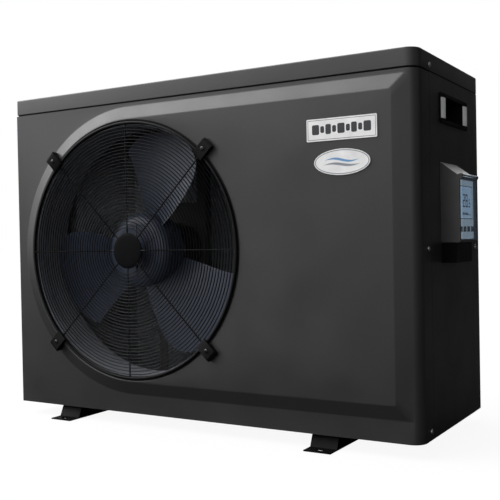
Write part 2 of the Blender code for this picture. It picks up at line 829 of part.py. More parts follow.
# ---------------------------------------------------------------- compressor
def compressor():
    centre = (655.0, 149.0)  # (x, y)
    foot_angles = (90, 210, 330)
    feet = [polar(centre, 80, math.radians(angle)) for angle in foot_angles]
    shell = [  # (radius, z)
        (0, 46), (48, 46), (60, 54), (62, 66), (62, 270), (56, 288), (36, 300), (0, 304),
    ]
    grommet = [  # (radius, z), with a groove for the foot plate
        (0, 4.2), (13, 4.2), (13, 42), (11, 46.4), (6.4, 46.4),
        (6.4, 51.6), (11, 51.6), (11, 56), (0, 56),
    ]
    plate = []
    for foot, angle in zip(feet, foot_angles):
        plate += arc(*foot, 16, angle - 80, angle + 80, 4)
    body = part("compressor", revolve(shell, "z", centre, 24), COMPRESSOR, smooth=35)
    join(body, helper("comp_feet", prism(plate, "z", (47, 51))))
    for foot in feet:
        cut(body, helper("grommet_hole", cylinder("z", foot, 7.0, (40, 60), 12)))
    for letter, foot in zip("abc", feet):
        part(
            "compressor_grommet_" + letter, revolve(grommet, "z", foot, 12), RUBBER, smooth=40
        )


compressor()

ACCUMULATOR = ACCUMULATOR_X, ACCUMULATOR_Y = 600.0, 238.0
ACCUMULATOR_PROFILE = [  # (radius, z)
    (0, 90), (18, 94), (30, 104), (30, 236), (20, 250), (6, 258), (0, 258),
]
part(
    "accumulator", revolve(ACCUMULATOR_PROFILE, "z", ACCUMULATOR, 18), COMPRESSOR, smooth=35
)

# ---------------------------------------------------------------- valves and pipes
VALVE_Y, VALVE_Z = 150.0, 400.0
DISCHARGE_X, SUCTION_X = 650, 650.5


def reversing_valve():
    """A horizontal barrel with four pipe ports and a pilot coil."""
    valve = part(
        "reversing_valve", cylinder("x", (VALVE_Y, VALVE_Z), 15, (600, 700), 16),
        BRASS, smooth=40,
    )
    below, above = (VALVE_Z - 34, VALVE_Z), (VALVE_Z, VALVE_Z + 30)
    for name, x, span in (
        ("port_discharge", DISCHARGE_X, below),
        ("port_a", 625, above),
        ("port_suction", SUCTION_X, above),
        ("port_c", 676, above),
    ):
        join(valve, helper(name, cylinder("z", (x, VALVE_Y), 6.5, span, 10)))
    join(valve, helper("pilot_coil", box(x=(668, 694), y=(112, 138), z=(388, 414))))


reversing_valve()

DISCHARGE_PATH = [  # (x, y, z), from the compressor up to the valve
    (DISCHARGE_X, VALVE_Y, 305), (DISCHARGE_X, VALVE_Y, 332), (DISCHARGE_X, 100, 332),
    (DISCHARGE_X, 100, 352), (DISCHARGE_X, VALVE_Y, 352), (DISCHARGE_X, VALVE_Y, 365),
]
SUCTION_PATH = [  # (x, y, z), from the valve down to the accumulator
    (SUCTION_X, VALVE_Y, 430.6), (SUCTION_X, VALVE_Y, 446), (ACCUMULATOR_X, VALVE_Y, 446),
    (ACCUMULATOR_X, ACCUMULATOR_Y, 446), (ACCUMULATOR_X, ACCUMULATOR_Y, 259),
]
part("discharge_pipe", tube(bend_path(DISCHARGE_PATH, 12), 5.0), COPPER, smooth=50)
part("suction_pipe", tube(bend_path(SUCTION_PATH, 16), 6.0), COPPER, smooth=50)


def expansion_valve():
    x, y = 722, 70
    valve = part("expansion_valve", cylinder("z", (x, y), 15, (330, 372), 14), BRASS, smooth=40)
    join(
        valve,
        helper("ev_body", cylinder("z", (x, y), 6, (300, 335), 10)),
        helper("ev_port", cylinder("x", (y, 312), 4.5, (x, x + 30), 8)),
    )


expansion_valve()

# ---------------------------------------------------------------- water circuit
EXCHANGER_PROFILE = [  # (radius, z): a vertical shell with an end cap at each end
    (0, 28), (56, 28), (73, 36), (73, 62), (66, 66),
    (66, 372), (73, 376), (73, 402), (56, 410), (0, 410),
]
part("heat_exchanger", revolve(EXCHANGER_PROFILE, "z", (PIPE_X, 218.0), 28), PVC, smooth=35)

# (radius, y): pipe through the back panel, with a collar that keeps its union nut on
TAILPIECE_PROFILE = [
    (21, 303), (25, 303), (25, 388), (30, 388.5), (30, TAIL_END), (21, TAIL_END),
]


def union_nut(name, z):
    """Hand nut with eight grip ribs, free to turn on its tailpiece."""
    count = 32
    ribs = [41.0 if i % 4 in (0, 1) else 37.5 for i in range(count)]
    bore = [26.0] * count
    stations = (  # (y, radii round the loop)
        (356, ribs), (386, ribs), (387.6, [radius - 2.0 for radius in ribs]),
        (387.6, bore), (356, bore),
    )
    shape = bmesh.new()
    loops = [
        add_loop(shape, [
            place("y", *polar((PIPE_X, z), radius, 2 * math.pi * i / count), y)
            for i, radius in enumerate(radii)
        ])
        for y, radii in stations
    ]
    for k, loop in enumerate(loops):
        bridge(shape, loop, loops[(k + 1) % len(loops)])
    part(name, outward(shape), BLACK)


for port, port_z in WATER_PORTS:
    tailpiece = revolve(TAILPIECE_PROFILE, "y", (PIPE_X, port_z), 28)
    part(port + "_tailpiece", tailpiece, PVC, smooth=35)
    union_nut(port + "_union_nut", port_z)

# ---------------------------------------------------------------- electrical parts
electrical_box = part("electrical_box", box(x=(574, 826), y=(24, 296), z=(470, 596)), STEEL)
cut(electrical_box, helper("ebox_inside", box(x=(576, 824), y=(26, 294), z=(472, 610))))
part("control_board", box(x=(590, 784), y=(50, 270), z=(482, 484)), CIRCUIT_BOARD)
part("terminal_block", box(x=(794, 818), y=(60, 180), z=(474, 500)), BLACK)
GLAND_PROFILE = [  # (radius, y)
    (5, 338), (9.8, 338), (9.8, 350.4), (14.5, 350.4), (14.5, 358), (12, 366), (7.5, 371),
    (5, 371),
]
part("cable_gland", revolve(GLAND_PROFILE, "y", GLAND, 12), BLACK)

# ---------------------------------------------------------------- controller, right side
INNER, OUTER = WIDTH + 0.4, WIDTH + BOX_OUT  # x of the housing's back and face
FACE_Y, FACE_Z = grow(BOX_Y, -5), grow((BOX_BOTTOM, BOX_FACE_TOP), -5)
HINGE = HINGE_X, HINGE_Z = OUTER + HINGE_OUT, BOX_FACE_TOP + 1.6
DISPLAY_Y, DISPLAY_Z = (120, 186), (FACE_Z[0] + 36, FACE_Z[1] - 12)
FIRST_KEY_Y, KEY_PITCH, KEY_Z = 119.5, 22.0, FACE_Z[0] + 17.0


def controller_housing():
    outline = [  # (x, z): the roof slopes down and outwards
        (INNER, BOX_BOTTOM), (OUTER - 1.5, BOX_BOTTOM), (OUTER, BOX_BOTTOM + 1.5),
        (OUTER, BOX_FACE_TOP), (INNER, BOX_ROOF_TOP),
    ]
    ear = [  # (x, z)
        (OUTER - 3, BOX_FACE_TOP - 5), (OUTER + 3, BOX_FACE_TOP - 4),
        (OUTER + 5.4, BOX_FACE_TOP + 0.5), (OUTER + 5.0, BOX_FACE_TOP + 3.6),
        (OUTER + 1.5, BOX_FACE_TOP + 4.2), (OUTER - 6, BOX_FACE_TOP + 2),
    ]
    housing = part("controller_housing", prism(outline, "y", BOX_Y), BLACK)
    entry = box((INNER, OUTER - 7.0), grow(BOX_Y, -4), (BOX_BOTTOM - 34, BOX_BOTTOM + 1))
    join(housing, helper("cable_entry", entry))
    for name, x, y, z in (
        ("face_recess", (OUTER - 6, OUTER + 10), FACE_Y, FACE_Z),
        (
            "housing_inside", (INNER - 10, OUTER - 9), grow(BOX_Y, -3),
            (BOX_BOTTOM + 3, BOX_FACE_TOP - 6),
        ),
        ("cable_window", (OUTER - 12, OUTER - 3), grow(FACE_Y, -10), grow(FACE_Z, -10)),
        (
            "cable_entry_inside", (INNER - 10, OUTER - 10), grow(BOX_Y, -7),
            (BOX_BOTTOM - 31, BOX_BOTTOM + 10),
        ),
    ):
        cut(housing, helper(name, box(x, y, z)))
    for span in ((BOX_Y[0], BOX_Y[0] + 3.5), (BOX_Y[1] - 3.5, BOX_Y[1])):
        join(housing, helper("hinge_ear", prism(ear, "y", span)))
    cut(housing, helper("pin_hole", cylinder("y", HINGE, 1.5, grow(BOX_Y, -1.0), 10)))


def controller_face():
    """Face plate with its four keys and the display."""
    plate = part(
        "controller_faceplate",
        box((OUTER - 5.6, OUTER - 3.0), grow(FACE_Y, -0.4), grow(FACE_Z, -0.4)),
        MEMBRANE,
    )
    cut(plate, helper("display_recess", box((OUTER - 4.6, OUTER), DISPLAY_Y, DISPLAY_Z)))
    for i, name in enumerate(("button_power", "button_mode", "button_down", "button_up")):
        y, z = [FIRST_KEY_Y + i * KEY_PITCH] * 2, (KEY_Z, KEY_Z)
        cut(plate, helper(name + "_hole", box((OUTER - 8, OUTER), grow(y, 6.5), grow(z, 5.0))))
        outline = rounded(grow(y, 6.0), grow(z, 4.5), [2] * 4, 2)
        part(name, prism(outline, "x", (OUTER - 4.4, OUTER - 1.6)), KEYS)
    screen = box((OUTER - 4.2, OUTER - 2.4), grow(DISPLAY_Y, -0.4), grow(DISPLAY_Z, -0.4))
    part("controller_display", screen, DISPLAY)


def controller_lid():
    y = grow(BOX_Y, -4.2)
    cover = part(
        "controller_lid",
        box((OUTER + 0.5, OUTER + 2.6), y, (BOX_BOTTOM + 3, BOX_FACE_TOP - 0.6)),
        CLEAR_LID,
    )
    tab = box((OUTER + 2.4, OUTER + 5.0), (140, 166), (BOX_BOTTOM + 3.4, BOX_BOTTOM + 7.0))
    join(
        cover,
        helper("lid_barrel", cylinder("y", HINGE, BARREL_RADIUS, y, 12)),
        helper("lid_finger_tab", tab),
    )
    cut(cover, helper("lid_bore", cylinder("y", HINGE, 1.5, BOX_Y, 10)))


controller_housing()
part("lid_hinge_pin", cylinder("y", HINGE, 1.1, grow(BOX_Y, -1.3), 10), STEEL)
controller_face()
controller_lid()

# ---------------------------------------------------------------- badges (blank plates)
BADGE_BACK = FIELD_Y - 0.35
part(
    "nameplate",
    prism(rounded((684, 809), (493, 530), [1.5] * 4, 2), "y", (FIELD_Y - 1.6, BADGE_BACK)),
    LABEL,
)
OVAL_OUTLINE = [  # (x, z)
    (
        747 + 50 * math.cos(2 * math.pi * i / 32),
        457 + 21.5 * math.sin(2 * math.pi * i / 32),
    )
    for i in range(32)
]
part("oval_badge", prism(OVAL_OUTLINE, "y", (FIELD_Y - 2.2, BADGE_BACK)), LABEL)

# ---------------------------------------------------------------- casing screws, right side
SCREW_PROFILE = [  # (radius, x)
    (0, WIDTH - 7), (1.9, WIDTH - 7), (1.9, WIDTH + 0.35), (4.6, WIDTH + 0.35),
    (4.4, WIDTH + 1.8), (2.8, WIDTH + 2.7), (0, WIDTH + 2.9),
]


def case_screw(name, y, z, *through):
    """A screw, with a clearance hole in each sheet it goes through."""
    part(name, revolve(SCREW_PROFILE, "x", (y, z), 10), STEEL, smooth=40)
    hole = helper(name + "_hole", cylinder("x", (y, z), 2.4, (WIDTH - 12, WIDTH + 4), 10))
    for sheet in through:
        cut(sheet, hole)


case_screw("case_screw_lid", 59.0, 611.0, lid)
case_screw("case_screw_mid", 42.0, 313.0, front)
case_screw("case_screw_low", 43.0, 17.5, front, pan)
case_screw("case_screw_rear", 307.0, 311.0, rear_panel)
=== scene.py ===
"""Pool heat pump: detailed surfaces, materials, light and camera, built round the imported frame.

The cabinet stands upright with its fan at the front, facing world -Y. Cabinet coordinates are in
millimetres: x from the cabinet's left side, y from the front panel's border plane to the back,
z up from the underside of the casing. place() turns them into world metres.
"""

import math
from functools import cached_property

import bmesh
import bpy
from mathutils import Matrix, Vector


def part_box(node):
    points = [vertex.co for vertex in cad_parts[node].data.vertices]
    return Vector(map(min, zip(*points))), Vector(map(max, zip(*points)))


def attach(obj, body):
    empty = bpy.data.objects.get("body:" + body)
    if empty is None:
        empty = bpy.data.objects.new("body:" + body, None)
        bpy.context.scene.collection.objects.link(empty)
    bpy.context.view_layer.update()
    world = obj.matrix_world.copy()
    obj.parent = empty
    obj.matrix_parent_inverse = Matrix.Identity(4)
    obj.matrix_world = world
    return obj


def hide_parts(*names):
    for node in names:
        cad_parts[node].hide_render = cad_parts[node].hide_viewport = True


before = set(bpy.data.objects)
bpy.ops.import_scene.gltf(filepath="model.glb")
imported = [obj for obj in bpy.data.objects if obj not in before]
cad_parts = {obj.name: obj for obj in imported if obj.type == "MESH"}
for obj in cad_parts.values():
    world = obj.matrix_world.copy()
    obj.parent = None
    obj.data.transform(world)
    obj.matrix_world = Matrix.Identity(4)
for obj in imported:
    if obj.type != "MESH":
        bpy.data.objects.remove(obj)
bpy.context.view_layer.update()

# =============================================================== driving dimensions
RAISE = 10.0  # how far the front panel's field stands out from its border
PANEL_BOTTOM, PANEL_TOP = 3.0, 599.0  # the front panel's lower and upper edges
SEAM_Z = 601.0  # the joint below the lid
SEAM_GAP = 1.0
CORNER_RADIUS = 22.0  # the cabinet's upright rounded corners
LID_CORNERS = (3.0, CORNER_RADIUS, CORNER_RADIUS, 3.0)  # front left, front right, rear right, rear left
LID_FOLD_RADIUS = 2.4

panel_low, panel_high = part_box("front_panel")
ORIGIN = Vector((panel_low.x, panel_low.y + RAISE / 1000, panel_low.z - PANEL_BOTTOM / 1000))
cover_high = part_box("top_cover")[1]
WIDTH = (panel_high.x - panel_low.x) * 1000
HEIGHT = (cover_high.z - ORIGIN.z) * 1000
DEPTH = (cover_high.y - ORIGIN.y) * 1000
guard_low, guard_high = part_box("fan_guard")
FAN_X = ((guard_low.x + guard_high.x) / 2 - ORIGIN.x) * 1000
FAN_Z = ((guard_low.z + guard_high.z) / 2 - ORIGIN.z) * 1000
FAN_CENTRE = (FAN_X, FAN_Z)


def place(x, y, z):
    """Cabinet millimetres to world metres."""
    return Vector((ORIGIN.x + x / 1000, ORIGIN.y + y / 1000, ORIGIN.z + z / 1000))


# a point (a, b) of an outline drawn across an axis, at distance t along that axis
ACROSS = {
    "z": lambda a, b, t: place(a, b, t),
    "y": lambda a, b, t: place(a, t, b),
    "x": lambda a, b, t: place(t, a, b),
}


def extent(node):
    """A node's box in cabinet coordinates: (x0, y0, z0), (x1, y1, z1)."""
    low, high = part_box(node)
    return tuple((low - ORIGIN) * 1000), tuple((high - ORIGIN) * 1000)


def middle(node):
    low, high = extent(node)
    return tuple((a + b) / 2 for a, b in zip(low, high))


def around_fan(radius, angle, y, side=0.0):
    """Cabinet coordinates of a point about the fan axis, moved sideways along the tangent."""
    cosine, sine = math.cos(angle), math.sin(angle)
    return FAN_X + radius * cosine - side * sine, y, FAN_Z + radius * sine + side * cosine


# =============================================================== shader building
class Shader:
    """Builds the node tree of a material or world.

    Any node input may be given as a plain value or as the socket that feeds it.
    """

    def __init__(self, owner, bare=False):
        self.owner = owner
        owner.use_nodes = True
        self.tree = owner.node_tree
        if bare:
            self.tree.nodes.clear()

    @cached_property
    def coord(self):
        return self.node("ShaderNodeTexCoord").outputs["Object"]

    @property
    def principled(self):
        return self.tree.nodes["Principled BSDF"]

    def feed(self, socket, value):
        if isinstance(value, bpy.types.NodeSocket):
            self.tree.links.new(value, socket)
        else:
            socket.default_value = value

    def node(self, kind, inputs=None, **settings):
        node = self.tree.nodes.new(kind)
        for name, value in settings.items():
            setattr(node, name, value)
        for name, value in (inputs or {}).items():
            self.feed(node.inputs[name], value)
        return node

    def noise(self, scale, detail=3.0, rough=0.55, stretch=None):
        vector = self.coord
        if stretch:
            mapping = {"Vector": vector, "Scale": stretch}
            vector = self.node("ShaderNodeMapping", mapping).outputs["Vector"]
        inputs = {"Scale": scale, "Detail": detail, "Roughness": rough, "Vector": vector}
        return self.node("ShaderNodeTexNoise", inputs).outputs["Fac"]

    def remap(self, value, source=(0.0, 1.0), target=(0.0, 1.0), **settings):
        inputs = {
            "Value": value,
            "From Min": source[0], "From Max": source[1],
            "To Min": target[0], "To Max": target[1],
        }
        return self.node("ShaderNodeMapRange", inputs, **settings).outputs["Result"]

    def span(self, noise, low=0.0, high=1.0):
        """Spreads the middle part of a noise over low to high."""
        return self.remap(noise, (0.3, 0.7), (low, high))

    def math(self, operation, first, second):
        inputs = {0: first, 1: second}
        return self.node("ShaderNodeMath", inputs, operation=operation).outputs["Value"]

    def mix(self, factor, first, second, data_type="RGBA"):
        inputs = {"Factor": factor, "A": first, "B": second}
        return self.node("ShaderNodeMix", inputs, data_type=data_type).outputs["Result"]

    def tones(self, factor, colour, dark, light):
        """Mixes a darker and a lighter version of one colour."""
        return self.mix(factor, scaled(colour, dark), scaled(colour, light))

    def bump(self, height, distance, strength=1.0, under=None):
        inputs = {"Distance": distance, "Strength": strength, "Height": height}
        if under:
            inputs["Normal"] = under
        return self.node("ShaderNodeBump", inputs).outputs["Normal"]

    def geometry(self, output, axis):
        vector = self.node("ShaderNodeNewGeometry").outputs[output]
        return self.node("ShaderNodeSeparateXYZ", {"Vector": vector}).outputs[axis]

    def mix_shader(self, factor, first, second):
        inputs = {"Fac": factor, 1: first, 2: second}
        return self.node("ShaderNodeMixShader", inputs).outputs["Shader"]

    def surface(self, inputs):
        """Sets or links inputs of the Principled shader, and returns the material."""
        for name, value in inputs.items():
            self.feed(self.principled.inputs[name], value)
        return self.owner

    def current(self, name):
        """What a Principled input has now: the socket feeding it, or its value."""
        socket = self.principled.inputs[name]
        return socket.links[0].from_socket if socket.links else socket.default_value


def new_shader(name, bare=False):
    return Shader(bpy.data.materials.new(name), bare)


def scaled(colour, factor):
    return (*(min(1.0, x * factor) for x in colour), 1)


def powder_coat(name, colour, rough=0.4, spread=0.05, grain=0.00006, specular=0.5):
    """Powder coat: a faint orange peel, slightly uneven gloss and a trace of dust in the tone."""
    m = new_shader(name)
    fine = m.noise(1400, detail=2.0)
    tone = m.span(m.noise(6.0, detail=4.0))
    patches = m.span(m.noise(14.0, detail=5.0), rough - spread, rough + spread)
    peel = m.noise(220, detail=2.0)
    return m.surface({
        "Base Color": m.tones(tone, colour, dark=0.95, light=1.06),
        "Roughness": m.math("ADD", patches, m.span(fine, -0.02, 0.02)),
        "Normal": m.bump(peel, grain * 2.2, strength=0.6, under=m.bump(fine, grain)),
        "Specular IOR Level": specular,
    })


def moulded(name, colour, rough=0.5, grain=0.00005, scale=2600, specular=0.5):
    """Moulded plastic with a fine spark-eroded grain."""
    m = new_shader(name)
    return m.surface({
        "Base Color": m.tones(m.span(m.noise(40, detail=4.0)), colour, dark=0.92, light=1.1),
        "Roughness": m.span(m.noise(25, detail=4.0), rough - 0.05, rough + 0.05),
        "Normal": m.bump(m.noise(scale, detail=2.0, rough=0.7), grain),
        "Specular IOR Level": specular,
    })


def metal(name, colour, rough=0.35, stretch=(1, 1, 40), scale=60, spread=0.1):
    """Drawn or rolled metal, with the fine streaks of its rolling direction."""
    m = new_shader(name)
    streaks = m.noise(scale, detail=5.0, rough=0.6, stretch=stretch)
    return m.surface({
        "Base Color": m.tones(m.span(streaks), colour, dark=0.82, light=1.08),
        "Metallic": 1.0,
        "Roughness": m.span(streaks, rough - spread, rough + spread),
        "Normal": m.bump(streaks, 0.00002),
    })


def galvanised(name, colour):
    """Zinc-coated sheet with its crystal spangle."""
    m = new_shader(name)
    crystals = m.node("ShaderNodeTexVoronoi", {"Scale": 160.0, "Vector": m.coord})
    cell = m.node("ShaderNodeSeparateColor", {"Color": crystals.outputs["Color"]})
    return m.surface({
        "Base Color": m.tones(cell.outputs["Red"], colour, dark=0.75, light=1.1),
        "Metallic": 0.9,
        "Roughness": m.remap(cell.outputs["Green"], target=(0.34, 0.52)),
        "Normal": m.bump(m.noise(500, detail=2.0), 0.00002),
    })


def rubber(name, colour):
    m = new_shader(name)
    return m.surface({
        "Base Color": m.tones(m.span(m.noise(90, detail=5.0)), colour, dark=0.8, light=1.5),
        "Roughness": m.span(m.noise(60, detail=4.0), 0.72, 0.92),
        "Normal": m.bump(m.noise(1800, detail=3.0), 0.00008),
        "Specular IOR Level": 0.3,
    })


def dull_top(material):
    """Makes the upward face duller and more even than the skirt."""
    m = Shader(material)
    up = m.remap(m.geometry("True Normal", "Z"), (0.6, 0.97), interpolation_type="SMOOTHSTEP")
    for name, value in (("Roughness", 0.66), ("Specular IOR Level", 0.1)):
        m.surface({name: m.mix(up, m.current(name), value, data_type="FLOAT")})


def blacken_below(material, z0, z1):
    """Turns a moulding black and duller below a height, changing over between z0 and z1."""
    m = Shader(material)
    height = m.geometry("Position", "Z")
    limits = (place(0, 0, z0).z, place(0, 0, z1).z)
    black = (0.003, 0.003, 0.0033, 1)
    m.surface({
        "Base Color": m.mix(m.remap(height, limits), black, m.current("Base Color")),
        "Specular IOR Level": m.remap(height, limits, (0.06, 0.75)),
    })


def circuit_board():
    m = new_shader("circuit_board_green")
    tracks = m.node("ShaderNodeTexBrick", {
        "Scale": 120.0,
        "Vector": m.coord,
        "Color1": (0.012, 0.12, 0.05, 1),
        "Color2": (0.016, 0.15, 0.06, 1),
        "Mortar": (0.05, 0.3, 0.12, 1),
    })
    return m.surface({
        "Base Color": tracks.outputs["Color"],
        "Roughness": m.span(m.noise(200, detail=3.0), 0.3, 0.5),
        "Normal": m.bump(tracks.outputs["Fac"], 0.00005),
    })


def display_panel():
    """Liquid-crystal display: blue-grey, with a softly uneven backlight."""
    m = new_shader("lcd_panel")
    tone = m.span(m.noise(30, detail=2.0))
    backlight = m.span(m.noise(18, detail=1.0))
    return m.surface({
        "Base Color": m.mix(tone, (0.3, 0.42, 0.52, 1), (0.36, 0.48, 0.58, 1)),
        "Roughness": m.span(m.noise(60, detail=3.0), 0.1, 0.2),
        "Normal": m.bump(m.noise(4000, detail=1.0), 0.000005),
        "Coat Weight": 0.6,
        "Emission Color": m.mix(backlight, (0.42, 0.56, 0.7, 1), (0.5, 0.63, 0.76, 1)),
        "Emission Strength": 0.5,
    })


def clear_plastic():
    """Thin tinted clear lid: mostly see-through, a bluish tint, and a glossy face."""
    m = new_shader("clear_tinted_lid", bare=True)
    gloss = m.node("ShaderNodeBsdfPrincipled", {
        "Base Color": (0.42, 0.5, 0.58, 1),
        "Specular IOR Level": 0.5,
        "Roughness": m.remap(m.noise(35.0, detail=2.0, rough=0.5), target=(0.05, 0.12)),
    })
    clear = m.node("ShaderNodeBsdfTransparent", {"Color": (0.86, 0.91, 0.96, 1)})
    fresnel = m.node("ShaderNodeFresnel", {"IOR": 1.5}).outputs["Fac"]
    # the sheet's inner faces only let light through
    inner = m.node("ShaderNodeNewGeometry").outputs["Backfacing"]
    glossy = m.math("MULTIPLY", m.math("ADD", fresnel, 0.08), m.math("SUBTRACT", 1.0, inner))
    sheet = m.mix_shader(glossy, clear.outputs["BSDF"], gloss.outputs["BSDF"])
    m.node("ShaderNodeOutputMaterial", {"Surface": sheet})
    return m.owner


# =============================================================== materials
COAT = powder_coat("charcoal_powder_coat", (0.0235, 0.0235, 0.0242), rough=0.36)
COAT_LID = powder_coat("charcoal_powder_coat_lid", (0.027, 0.027, 0.0277), rough=0.38)
dull_top(COAT_LID)
COAT_PAN = powder_coat("base_pan_powder_coat", (0.02, 0.02, 0.0205), rough=0.5)
SHROUD = powder_coat("shroud_coat", (0.25, 0.262, 0.29), rough=0.5, specular=0.3)
BLACK = moulded("black_moulded_plastic", (0.003, 0.003, 0.0033), rough=0.55, specular=0.1)
CAP = moulded(
    "guard_cap_plastic", (0.0022, 0.0024, 0.003), grain=0.00003, scale=1800, specular=0.05
)
GUARD = moulded(
    "guard_black_coating", (0.0032, 0.0034, 0.004),
    rough=0.42, grain=0.00002, scale=900, specular=0.13,
)
FOOT = powder_coat(
    "foot_black_coat", (0.003, 0.003, 0.0033), rough=0.58, spread=0.07, grain=0.00009, specular=0.08
)
FAN_PLASTIC = moulded(
    "fan_plastic_blue_black", (0.040, 0.050, 0.076),
    rough=0.42, grain=0.00004, scale=1200, specular=0.36,
)
PAD = moulded("grip_pad_grey", (0.85, 0.85, 0.85), rough=0.35, specular=1.0)
# painted shade: the left grip pads get a much darker grey than the right ones, so that under the strong
# light from the left they show the same grey
PAD_LEFT_PAINTED_SHADE = moulded("grip_pad_left_painted_shade", (0.17, 0.17, 0.175), rough=0.4)
HOUSING = moulded(
    "controller_housing_plastic", (0.021, 0.021, 0.0217),
    rough=0.34, grain=0.00007, scale=1500, specular=0.75,
)
# the housing turns black and duller below 322 mm, at its foot
blacken_below(HOUSING, z0=321.5, z1=322.5)
MEMBRANE = moulded("keypad_membrane", (0.56, 0.62, 0.68), rough=0.42, grain=0.00003, scale=3000)
# painted glow: the keypad membrane gives off a faint blue-white light, though it holds no lamp, so that
# it shows lighter behind the clear lid
Shader(MEMBRANE).surface({"Emission Color": (0.78, 0.92, 1.0, 1), "Emission Strength": 0.23})
# painted shade: parts inside the cabinet get this dark tone so that they stay as dark as the shade in
# there, even where light through the fan opening reaches them
INNER = powder_coat("inner_painted_shade_coat", (0.045, 0.044, 0.043), rough=0.6, specular=0.25)
KEY = moulded("key_plastic", (0.07, 0.078, 0.09), rough=0.45)
PVC = moulded("pvc_white", (0.62, 0.62, 0.59), rough=0.33, grain=0.00002, scale=700)
ZINC = metal("zinc_plated_steel", (0.5, 0.5, 0.49), stretch=(1, 1, 1), scale=300, spread=0.08)
GALV = galvanised("galvanised_sheet", (0.45, 0.47, 0.49))
COPPER = metal("drawn_copper", (0.72, 0.36, 0.22), rough=0.3, stretch=(1, 1, 8), scale=80)
BRASS = metal("machined_brass", (0.7, 0.52, 0.24), rough=0.3, stretch=(20, 1, 1), scale=90)
FIN = metal("aluminium_fin", (0.68, 0.71, 0.74), rough=0.55, stretch=(1, 1, 30), scale=50)
Shader(FIN).surface({"Metallic": 0.2})
ENAMEL = powder_coat("black_enamel", (0.008, 0.008, 0.009), rough=0.22, spread=0.06, grain=0.00004)
BLACK_SATIN = moulded(
    "black_satin_plastic", (0.012, 0.012, 0.013), rough=0.36, grain=0.00004, scale=1600
)
RUBBER = rubber("black_rubber", (0.012, 0.012, 0.012))
PLATE = moulded("label_white_film", (0.8, 0.8, 0.8), rough=0.3, grain=0.00001, scale=900)
INK_DARK = moulded("label_ink_dark", (0.022, 0.023, 0.026), rough=0.35, grain=0.00001)
INK_GREY = moulded("label_ink_grey", (0.25, 0.27, 0.3), rough=0.35, grain=0.00001)
INK_BLUE = moulded("label_ink_blue", (0.12, 0.3, 0.55), rough=0.35, grain=0.00001)
PCB = circuit_board()
LCD = display_panel()
CLEAR = clear_plastic()


# =============================================================== objects and modifiers
def to_object(name, mesh):
    data = bpy.data.meshes.new(name)
    mesh.to_mesh(data)
    mesh.free()
    obj = bpy.data.objects.new(name, data)
    bpy.context.scene.collection.objects.link(obj)
    return obj


def set_sharp(obj, degrees):
    obj.data.set_sharp_from_angle(angle=math.radians(degrees))


def add_bevel(obj, width, segments=2, angle=40):
    bevel = obj.modifiers.new("edge_round", "BEVEL")
    bevel.width = width / 1000
    bevel.segments = segments
    bevel.limit_method = "ANGLE"
    bevel.angle_limit = math.radians(angle)
    bevel.harden_normals = True
    bevel.use_clamp_overlap = True


def finish_mesh(name, mesh, material, body="cabinet", replaces=None, smooth=30,
                bevel=0.0, segments=2, angle=40):
    """Makes the finished object; smooth is its sharp-edge angle, bevel its edge width in mm."""
    bmesh.ops.remove_doubles(mesh, verts=mesh.verts, dist=1e-7)
    bmesh.ops.recalc_face_normals(mesh, faces=mesh.faces)
    obj = to_object(name, mesh)
    obj.data.materials.append(material)
    obj.data.shade_smooth()
    set_sharp(obj, smooth)
    if bevel:
        add_bevel(obj, bevel, segments, angle)
    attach(obj, body)
    if replaces:
        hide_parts(replaces)
    return obj


def apply_modifiers(obj):
    depsgraph = bpy.context.evaluated_depsgraph_get()
    data = bpy.data.meshes.new_from_object(obj.evaluated_get(depsgraph))
    obj.modifiers.clear()
    obj.data = data


def thicken(obj, thickness):
    """Gives a skin its sheet thickness, inwards."""
    sheet = obj.modifiers.new("sheet", "SOLIDIFY")
    sheet.thickness = thickness / 1000
    sheet.offset = -1
    sheet.use_even_offset = True
    apply_modifiers(obj)


def apply_cuts(obj, sharp):
    apply_modifiers(obj)
    set_sharp(obj, sharp)


TOOLS = []


def combine(target, operation, add_shape, *args):
    """Adds a boolean whose tool is drawn by add_shape(mesh, *args)."""
    mesh = bmesh.new()
    add_shape(mesh, *args)
    bmesh.ops.recalc_face_normals(mesh, faces=mesh.faces)
    tool = to_object("tool", mesh)
    tool.hide_render = True
    TOOLS.append(tool)
    boolean = target.modifiers.new("cut", "BOOLEAN")
    boolean.operation = operation
    boolean.solver = "EXACT"
    boolean.object = tool


def cut(target, add_shape, *args):
    combine(target, "DIFFERENCE", add_shape, *args)


def unite(target, add_shape, *args):
    combine(target, "UNION", add_shape, *args)


def remove_tools():
    for tool in TOOLS:
        bpy.data.objects.remove(tool, do_unlink=True)
    TOOLS.clear()


# =============================================================== outlines
def arc(centre_x, centre_y, radius, start, end, steps):
    angles = [math.radians(start + (end - start) * i / steps) for i in range(steps + 1)]
    return [(centre_x + radius * math.cos(t), centre_y + radius * math.sin(t)) for t in angles]


def rounded(x0, y0, x1, y1, radii, steps=8):
    """A rectangle with rounded corners, anticlockwise from (x0, y0)."""
    if not isinstance(radii, (tuple, list)):
        radii = (radii,) * 4
    corners = ((x0, y0, 1, 1), (x1, y0, -1, 1), (x1, y1, -1, -1), (x0, y1, 1, -1))
    points = []
    for i, ((x, y, way_x, way_y), radius) in enumerate(zip(corners, radii)):
        start = (180 + 90 * i) % 360
        points += arc(x + way_x * radius, y + way_y * radius, radius, start, start + 90, steps)
    return points


def cabinet_outline(inset, steps):
    radii = [max(0.4, radius - inset) for radius in LID_CORNERS]
    return rounded(inset, inset, WIDTH - inset, DEPTH - inset, radii, steps)


